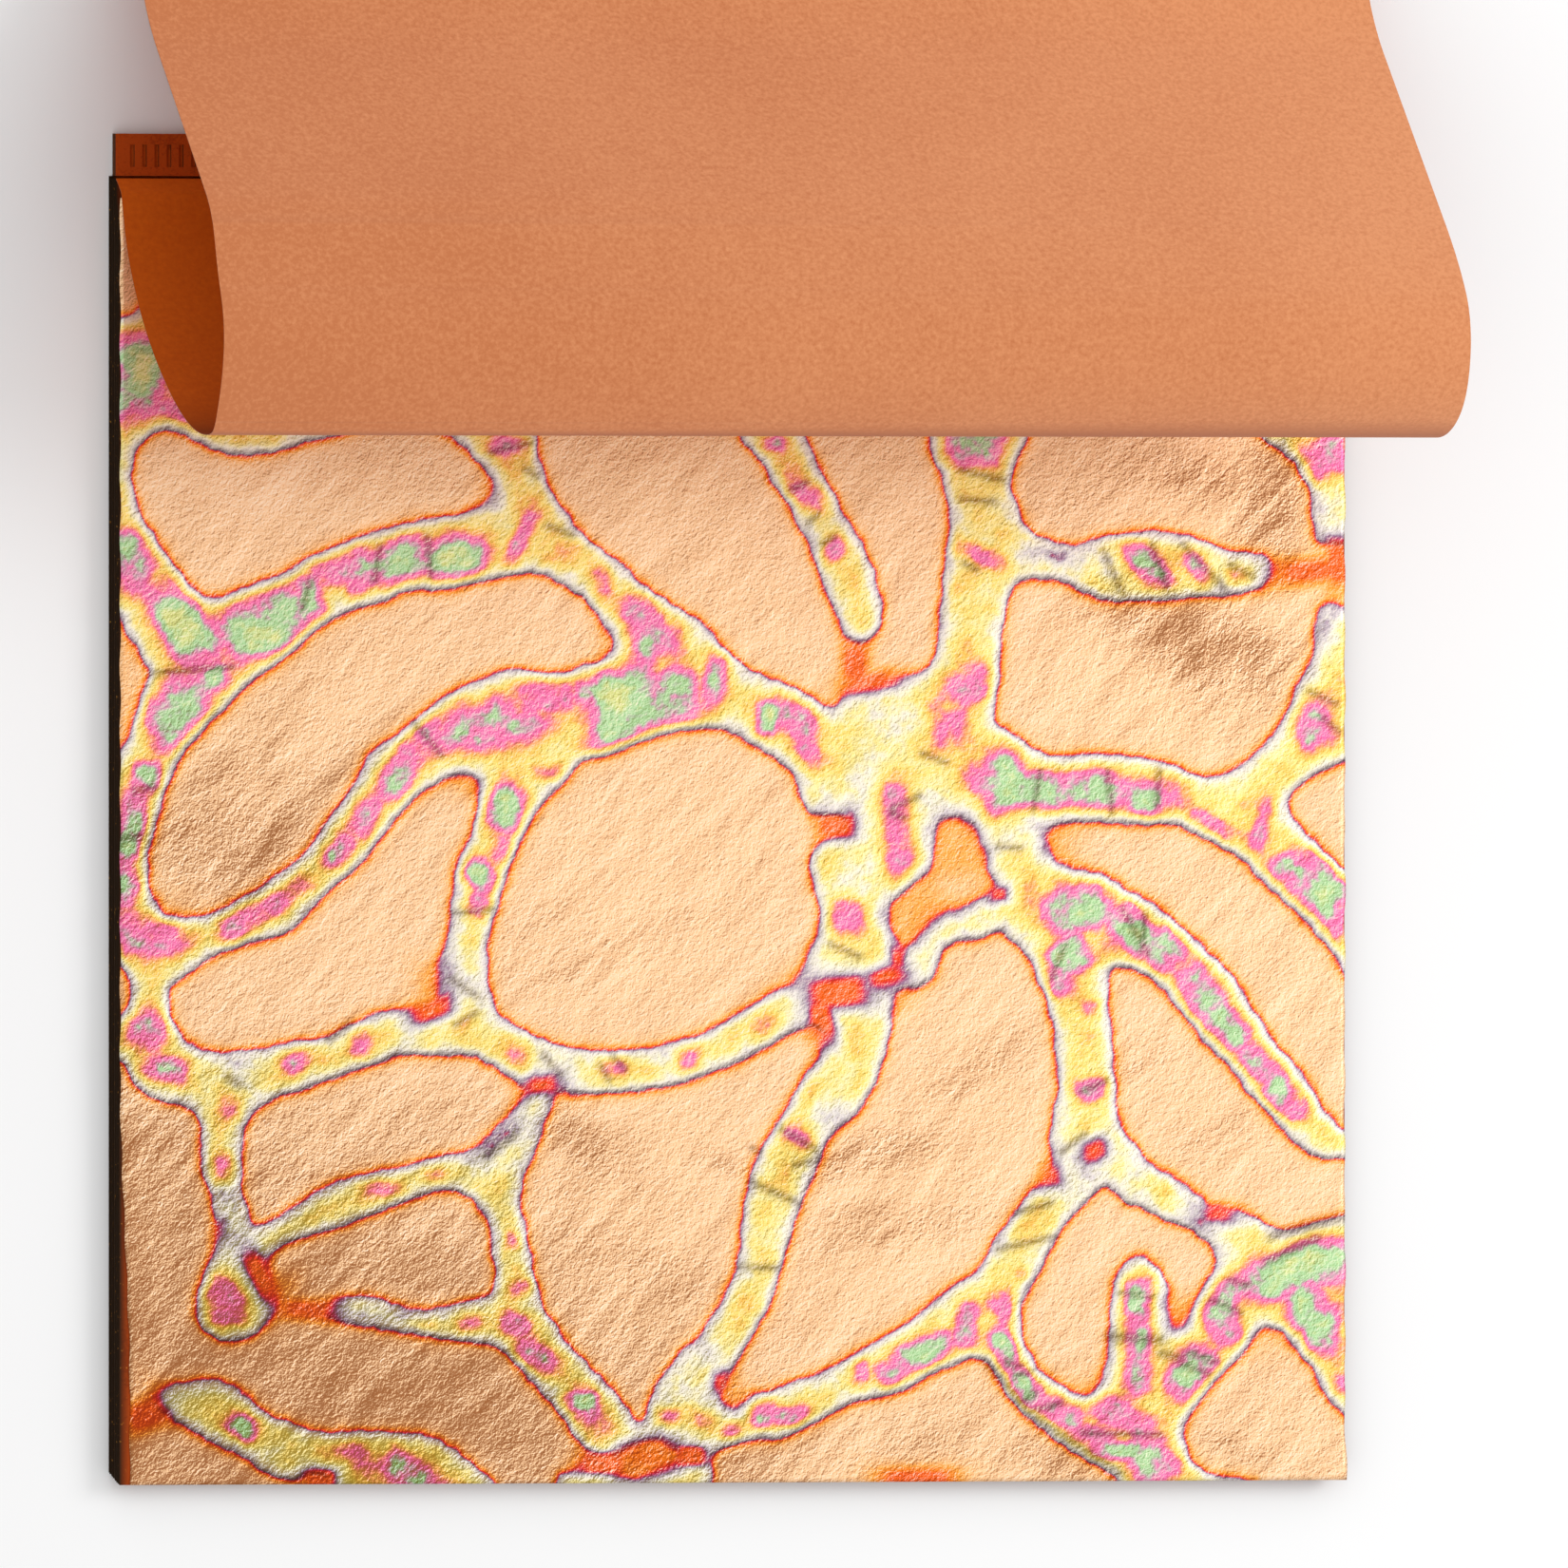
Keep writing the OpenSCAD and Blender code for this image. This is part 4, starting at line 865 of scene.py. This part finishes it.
def heat_coloured_leaf():
    """Brass leaf, beaten thin and then warmed until it oxidised in patches: the colours follow the
    film's thickness from bare gold through orange, red and grey to white, yellow, pink and green.
    One number stands for that thickness, and one ramp gives its colours, as on the real metal.
    Over them lie painted shade and painted highlights: on one side of each vein, along the
    creases, on the folds and crinkles, and over the shaded places and the front left corner."""
    made, tree, shader = new_material("brass leaf, heat coloured")
    read = {name: add(tree, "ShaderNodeAttribute", {"attribute_name": name}).outputs["Fac"]
            for name in leaf_fields}
    grain = fine_noise(tree, 0.55, 2, 0.6)
    ripple = fine_noise(tree, 2.4, 3, 0.6)
    jag = add(tree, MATH, TIMES_PLUS, grain, 0.30, -0.15)
    slow_jag = add(tree, MATH, TIMES_PLUS, ripple, 0.5, -0.25)
    jags = add(tree, MATH, PLUS, jag, slow_jag)
    at_mm = add(tree, MATH, PLUS, read["border_mm"], jags)
    curve = add(tree, RANGE, {}, at_mm, BORDER_LOW, BORDER_HIGH)
    film = add(tree, "ShaderNodeFloatCurve", {}, Value=curve)
    points = film.mapping.curves[0].points
    points[0].location, points[1].location = FILM_STEPS[0], FILM_STEPS[-1]
    for step in FILM_STEPS[1:-1]:
        points.new(*step)
    for point in points:
        point.handle_type = "VECTOR"
    film.mapping.update()
    inner = add(tree, RANGE, {}, read["border_mm"], 0.0, 1.3)
    deep = add(tree, MATH, TIMES, read["spot_depth"], inner)
    patchy = fine_noise(tree, 3.6, 3, 0.6)
    cloud = add(tree, MATH, TIMES_PLUS, patchy, 0.62, -0.30)
    clouded = add(tree, MATH, TIMES_PLUS, cloud, inner, deep)
    heated = add(tree, MATH, PLUS, film, clouded)
    thick = add(tree, MIX, {}, read["hot"], A=heated, B=HOT_FILM)
    colours = colour_stops(add(tree, RAMP, {}, thick), HEAT_COLOURS)
    # The deepest green lies past 1, so a mix carries the centres on to yellow green.
    over = add(tree, RANGE, {}, thick, 1.03, 1.12)
    centre = add(tree, MIX, BETWEEN_COLOURS, over, A=colours, B=linear("#dade8e"))
    # Painted shade: a narrow brown grey rim on one side of each vein, the shaded flank of its rise.
    band = add(tree, RANGE, SOFT_STEP, at_mm, -0.12, 0.12)
    band_end = add(tree, RANGE, SOFT_STEP, at_mm, 0.75, 0.25)
    rim_band = add(tree, MATH, TIMES, band, band_end)
    vein_shade_share = add(tree, RANGE, {}, read["painted_vein_shade_side"], 0.1, 0.9, 0.0, 0.6)
    painted_vein_shade = add(tree, MATH, TIMES, rim_band, vein_shade_share)
    vein_shaded = add(tree, MIX, TINTED, painted_vein_shade, A=centre, B=linear("#76644a"))
    # Darker along the creases: painted shade, over the small real rise the creases give the leaf.
    crease_shade = add(tree, MATH, TIMES, read["crease"], 0.75)
    crease_shaded = add(tree, MIX, TINTED, crease_shade, A=vein_shaded, B=linear("#7a6442"))
    # Fine crinkles lie across the leaf, a little longer one way. Their light and shade are painted
    #     on from one side, by the difference between the noise and the same noise 0.12 mm further
    #     on.
    place = add(tree, "ShaderNodeTexCoord", {})
    slant = add(tree, "ShaderNodeMapping", {}, place.outputs["Object"],
                Rotation=(0, 0, math.radians(-38)))
    long_way = add(tree, "ShaderNodeMapping", {}, slant, Scale=(0.72, 1, 1))
    beside = add(tree, "ShaderNodeVectorMath", PLUS, long_way, (0.0, 0.12 * MM, 0.0))
    crinkle, crinkle_beside = (
        add(tree, NOISE, {}, Vector=where, Scale=1 / (CRINKLE_MM * MM), Detail=4,
            Roughness=0.75, Distortion=0.3) for where in (long_way, beside))
    crumples = add(tree, NOISE, {}, Vector=long_way, Scale=1 / (5 * MM), Detail=4,
                   Roughness=0.6, Distortion=1.0)
    slope = add(tree, MATH, {"operation": "SUBTRACT"}, crinkle, crinkle_beside)
    # Where the painted shade is, the painted crinkles and folds stand out more.
    fine_share = add(tree, RANGE, {}, read["shade"], 0.0, 0.6, 4.2, 8.0)
    fold_share = add(tree, RANGE, {}, read["shade"], 0.0, 0.6, 0.26, 0.66)
    fine = add(tree, MATH, TIMES, slope, fine_share)
    folds_lit = add(tree, MATH, TIMES_PLUS, read["fold"], fold_share, fine)
    # Painted shade of the shade field, folds and crinkles; below 0 it becomes a painted highlight.
    painted_shade_sum = add(tree, MATH, TIMES_PLUS, read["shade"], 0.72, folds_lit)
    darker = add(tree, MATH, {**PLUS, "use_clamp": True}, painted_shade_sum, 0.0)
    brighter = add(tree, MATH, {**TIMES, "use_clamp": True}, painted_shade_sum, -0.8)
    shade_tint = add(tree, MIX, BETWEEN_COLOURS, inner, A=linear("#a27e62"), B=linear("#a3965e"))
    shaded = add(tree, MIX, TINTED, darker, A=crease_shaded, B=shade_tint)
    with_painted_highlight = add(tree, MIX, BETWEEN_COLOURS, brighter, A=shaded, B=linear("#fff0dc"))
    high = add(tree, MATH, TIMES_PLUS, crumples, 1.5, crinkle)
    bump = add(tree, "ShaderNodeBump", {}, Height=high, Strength=0.5, Distance=0.12 * MM)
    feed(tree, shader, Base_Color=with_painted_highlight, Normal=bump, Metallic=0.85, Roughness=0.5)
    return made


leaf = mesh_piece("exposed_leaf_surface", np.concatenate([top, under]), leaf_faces,
                  [heat_coloured_leaf()])
for name, values in leaf_fields.items():
    point_values(leaf, name, np.concatenate([values, values[ring]]))
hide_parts("leaf_01")
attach(leaf, "exposed_leaf")
